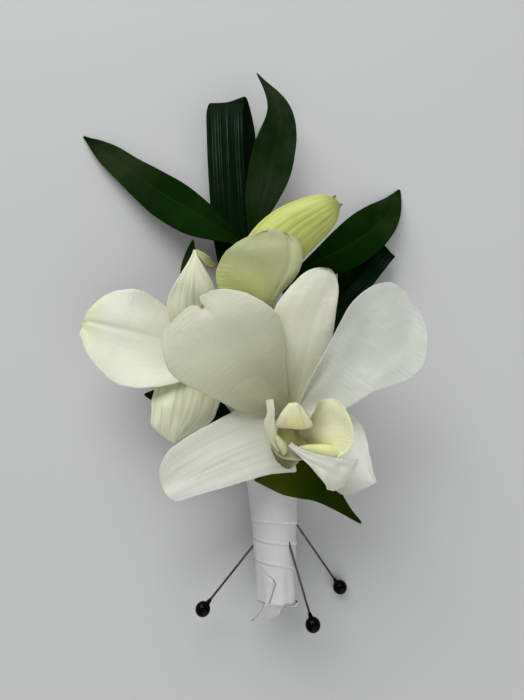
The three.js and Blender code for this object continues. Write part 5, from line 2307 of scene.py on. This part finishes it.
@dataclass
class Finishes:
    """Every finish of the part, made once."""

    # The darker, greener base is partly the petal's own colour and partly painted shade on its inner part.
    petal_left: Material = made(PetalFinish(
        "petal_cream", body=(0.60, 0.615, 0.50), shade=(0.56, 0.575, 0.46), base=(0.29, 0.305, 0.17),
        base_reach=1.15, base_share=0.85, spot_share=0.9, crinkle=1.5,
    ))
    # A darker, greyer copy of the petal colour: painted shade over the whole petal.
    petal_right: Material = made(PetalFinish(
        "petal_grey_painted_shade", body=(0.51, 0.53, 0.49), shade=(0.46, 0.48, 0.44), base=(0.46, 0.48, 0.38),
        tip=(0.5, 0.52, 0.45), base_reach=0.5, crinkle=1.4,
    ))
    # Its darker base is partly its own colour and partly painted shade on its lower part; the dark tip is its
    # own brown mark.
    dorsal: Material = made(PetalFinish(
        "petal_dorsal", body=(0.64, 0.655, 0.53), shade=(0.60, 0.61, 0.49), base=(0.32, 0.33, 0.17),
        tip=(0.14, 0.1, 0.05), base_reach=0.7, tip_from=0.965, tip_share=0.9, stripe_share=0.12,
    ))
    # Its right side, the upper one, is painted darker: painted shade.
    sepal_left: Material = made(PetalFinish(
        "sepal_cream", body=(0.69, 0.70, 0.63), shade=(0.64, 0.65, 0.58), base_reach=0.45, base_share=0.5,
        stripe=(0.46, 0.46, 0.38), flank_at=1.0, flank_share=0.5, stripes=16, stripe_share=0.3,
    ))
    # A paler copy of the sepal colour, painted light, with a dark side colour that is painted shade on its
    # folded-under facet.
    sepal_right: Material = made(PetalFinish(
        "sepal_painted_light", body=(0.80, 0.81, 0.74), shade=(0.76, 0.77, 0.70), flank=(0.38, 0.39, 0.33),
        base_reach=0.3, base_share=0.4, flank_at=1.0, flank_share=0.85,
    ))
    chin: Material = made(PetalFinish("chin_cream"))
    # A dark yellow-green shell: painted shade inside the chin, with a paler left side, painted light, and a
    # dark painted shadow line along its margin.
    pouch: Material = made(PetalFinish(
        "pouch_painted_shade", body=(0.13, 0.14, 0.045), shade=(0.11, 0.12, 0.035), base=(0.2, 0.2, 0.1),
        tip=(0.09, 0.1, 0.03), flank=(0.36, 0.36, 0.22), flank_share=0.95, painted_rim_shadow=(0.05, 0.055, 0.02),
        painted_rim_shadow_share=0.9,
    ))
    # A darker grey copy of the lip colour: painted shade.
    saddle: Material = made(PetalFinish(
        "lip_saddle_painted_shade", body=(0.40, 0.40, 0.27), shade=(0.36, 0.36, 0.23), base=(0.36, 0.37, 0.23),
        tip_share=0.0,
    ))
    curl: Material = made(PetalFinish(
        "lip_curl", body=(0.52, 0.54, 0.32), shade=(0.48, 0.5, 0.28), base=(0.5, 0.52, 0.3), tip_share=0.0,
    ))
    # Its yellow base is its own colour; its dark left side is painted shade where it runs down to the throat.
    lobe_right: Material = made(PetalFinish(
        "lip_yellow", body=(0.73, 0.74, 0.50), shade=(0.71, 0.72, 0.47), base=(0.68, 0.69, 0.32),
        tip=(0.66, 0.67, 0.5), flank=(0.24, 0.24, 0.12), flank_share=0.9, base_reach=0.5, stripe_share=0.03,
    ))
    # Its pale left side is painted light on the rolled lower margin.
    back_petal: Material = made(PetalFinish(
        "petal_back", body=(0.70, 0.71, 0.62), shade=(0.65, 0.66, 0.57), tip=(0.56, 0.62, 0.24),
        base_share=0.5, flank=(0.80, 0.83, 0.66), flank_share=0.6, spot=(0.3, 0.33, 0.1), spot_share=0.8,
        tip_from=0.75, tip_share=0.5,
    ))
    striped: Material = made(PetalFinish(
        "petal_striped", body=(0.77, 0.79, 0.59), shade=(0.73, 0.75, 0.55), stripe=(0.42, 0.46, 0.24),
        base_share=0.3, stripe_share=0.45, stripes=13, crinkle=0.4, relief=0.2,
    ))
    # Dark yellow-green with a darker tip: the bud points' own colour, and painted shade on the inner face of
    # the back sepal's turned tip.
    olive_and_painted_shade: Material = made(PetalFinish(
        "petal_olive_and_painted_shade", body=(0.26, 0.27, 0.09), shade=(0.2, 0.21, 0.07), base=(0.4, 0.42, 0.18),
        tip=(0.12, 0.12, 0.03), tip_from=0.4, tip_share=0.9,
    ))
    lip: Material = made(PetalFinish(
        "lip_pale", body=(0.62, 0.63, 0.47), shade=(0.58, 0.6, 0.42), base=(0.52, 0.54, 0.34),
        tip_share=0.0,
    ))
    mid_lobe: Material = made(PetalFinish(
        "lip_white", body=(0.58, 0.585, 0.52), shade=(0.54, 0.545, 0.47), base=(0.6, 0.6, 0.5),
        base_share=0.3, tip_share=0.0,
    ))
    ridge: Material = made(PetalFinish(
        "lip_ridge", body=(0.66, 0.67, 0.34), shade=(0.64, 0.65, 0.3), base_share=0.2,
    ))
    # Its dark side colour is painted shade in the throat.
    column: Material = made(PetalFinish(
        "column_green", body=(0.46, 0.46, 0.18), shade=(0.38, 0.38, 0.14), base=(0.42, 0.43, 0.16),
        tip=(0.3, 0.3, 0.1), flank=(0.12, 0.12, 0.015), flank_at=1.0, flank_share=0.85,
    ))
    cap: Material = made(CapFinish("cap_cream"))
    bud: Material = made(PetalFinish(
        "bud_yellow", body=(0.50, 0.55, 0.16), shade=(0.45, 0.5, 0.13), base=(0.54, 0.59, 0.15),
        tip=(0.22, 0.24, 0.03), tip_from=0.85, tip_share=0.8, stripe=(0.3, 0.35, 0.045), stripes=34,
        stripe_share=0.6, relief=0.2,
    ))
    # Its darker body is painted shade on the upper part, which faces the lamp, and its paler base is painted
    # light on the lower part.
    bud_sepal: Material = made(PetalFinish(
        "bud_sepal_pale", body=(0.36, 0.385, 0.195), shade=(0.33, 0.355, 0.175), base=(0.56, 0.62, 0.20),
        flank=(0.52, 0.55, 0.33), flank_at=1.0, flank_share=0.4, base_reach=0.8, base_share=0.8,
    ))
    leaf: Material = made(LeafFinish("leaf_green"))
    # The top leaf: its paler patch is a painted sheen, a painted reflection.
    painted_sheen_leaf: Material = made(LeafFinish(
        "leaf_painted_sheen", dark=(0.003, 0.015, 0.0012), light=(0.011, 0.034, 0.004), bloom=(0.030, 0.042, 0.021),
        painted_sheen_share=0.65, painted_sheen_rise=(-0.1, 0.2), painted_sheen_streaks=0.35,
    ))
    low_leaf: Material = made(LeafFinish(
        "leaf_olive", dark=(0.011, 0.027, 0.0003), light=(0.025, 0.046, 0.002), rib=(0.03, 0.05, 0.008),
        base=(0.07, 0.077, 0.006), base_share=0.9, painted_sheen_share=0.0,
    ))
    # The strap's pale streaks near its fold are a painted highlight.
    strap: Material = made(LeafFinish(
        "strap_green", dark=(0.0012, 0.0075, 0.001), light=(0.010, 0.020, 0.011), rib=(0.012, 0.025, 0.01),
        veins=12, vein_share=0.3, midrib=0.05, bloom=(0.045, 0.068, 0.058), painted_sheen_share=0.9,
        painted_sheen_rise=(0.30, 0.43), painted_sheen_fall=(0.485, 0.45), painted_sheen_streaks=1.0,
    ))
    pedicel: Material = made(StalkFinish("pedicel_green"))
    satin: Material = made(SatinFinish("ribbon_satin"))
    tape: Material = made(TapeFinish("stem_tape"))
    steel: Material = made(SteelFinish("pin_steel"))
    head: Material = made(GlossFinish("pin_gloss"))


# Stage


@dataclass
class Studio:
    """The camera, the plain floor and the soft light."""

    floor_size: float = 3.0
    floor_colour: Colour = (0.50, 0.505, 0.505)
    floor_shade: float = 0.95
    floor_cloud_scale: float = 6
    near: float = 0.01
    world_colour: Colour = (0.985, 0.995, 1.0)
    world_strength: float = 0.25
    key_place: Point = (-0.4, 1.3, 0.9)
    lamp_size: float = 1.5
    key_power: float = 32.0
    fill_place: Point = (0.35, -0.8, 0.65)
    fill_power: float = 8.0

    def build(self) -> None:
        """Sets the camera, floor and lights."""
        self.camera()
        self.floor()
        self.world()
        self.lamp("key", self.key_place, self.lamp_size, self.key_power)
        self.lamp("fill", self.fill_place, self.lamp_size, self.fill_power)
        bpy.context.scene.view_settings.view_transform = "Standard"

    def camera(self) -> None:
        """A camera at the photograph's viewing angle."""
        data = bpy.data.cameras.new("camera")
        data.sensor_width = SENSOR_MM
        data.lens = SENSOR_MM * FOCAL_PX / max(PHOTO_SIZE)
        data.clip_start = self.near
        obj = bpy.data.objects.new("camera", data)
        bpy.context.scene.collection.objects.link(obj)
        obj.location = Vector((np.array(CAMERA_PLACE) - PART_MIDDLE) * MM)
        obj.rotation_euler = (math.radians(CAMERA_TILT_DEG), 0, 0)
        bpy.context.scene.camera = obj

    def floor(self) -> None:
        """A plain pale floor."""
        bpy.ops.object.select_all(action="DESELECT")
        bpy.ops.mesh.primitive_plane_add(size=self.floor_size)
        obj = bpy.context.active_object
        obj.name = "floor"
        bench = Bench("floor_pale")
        cloud = bench.noise(self.floor_cloud_scale, 2)
        shade = tuple(part * self.floor_shade for part in self.floor_colour)
        colour = bench.mix(cloud * 0.2, self.floor_colour, shade)
        obj.data.materials.append(bench.surface(Base_Color=colour, Roughness=0.7))

    def world(self) -> None:
        """An even pale surrounding light."""
        world = bpy.data.worlds.new("studio")
        bpy.context.scene.world = world
        world.use_nodes = True
        background = world.node_tree.nodes["Background"]
        background.inputs["Color"].default_value = (*self.world_colour, 1)
        background.inputs["Strength"].default_value = self.world_strength

    @staticmethod
    def lamp(name: str, place: Point, size: float, power: float) -> None:
        """A soft square lamp that looks at the part.

        Args:
            name: its name.
            place: where it hangs, in metres.
            size: its side in metres.
            power: in watts.
        """
        data = bpy.data.lights.new(name, "AREA")
        data.size = size
        data.energy = power
        obj = bpy.data.objects.new(name, data)
        bpy.context.scene.collection.objects.link(obj)
        obj.location = place
        obj.rotation_euler = (-Vector(place)).to_track_quat("-Z", "Y").to_euler()


def main() -> None:
    """Builds the whole scene."""
    logging.basicConfig(level=logging.INFO, format="%(message)s")
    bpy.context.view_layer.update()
    Studio().build()
    finishes = Finishes()
    for assembly in (StemBundle, RibbonWrap, Pins, Pedicels, Foliage, BackBloom, HalfOpenBud, FrontBloom):
        assembly().build(finishes)


if __name__ == "__main__":
    main()
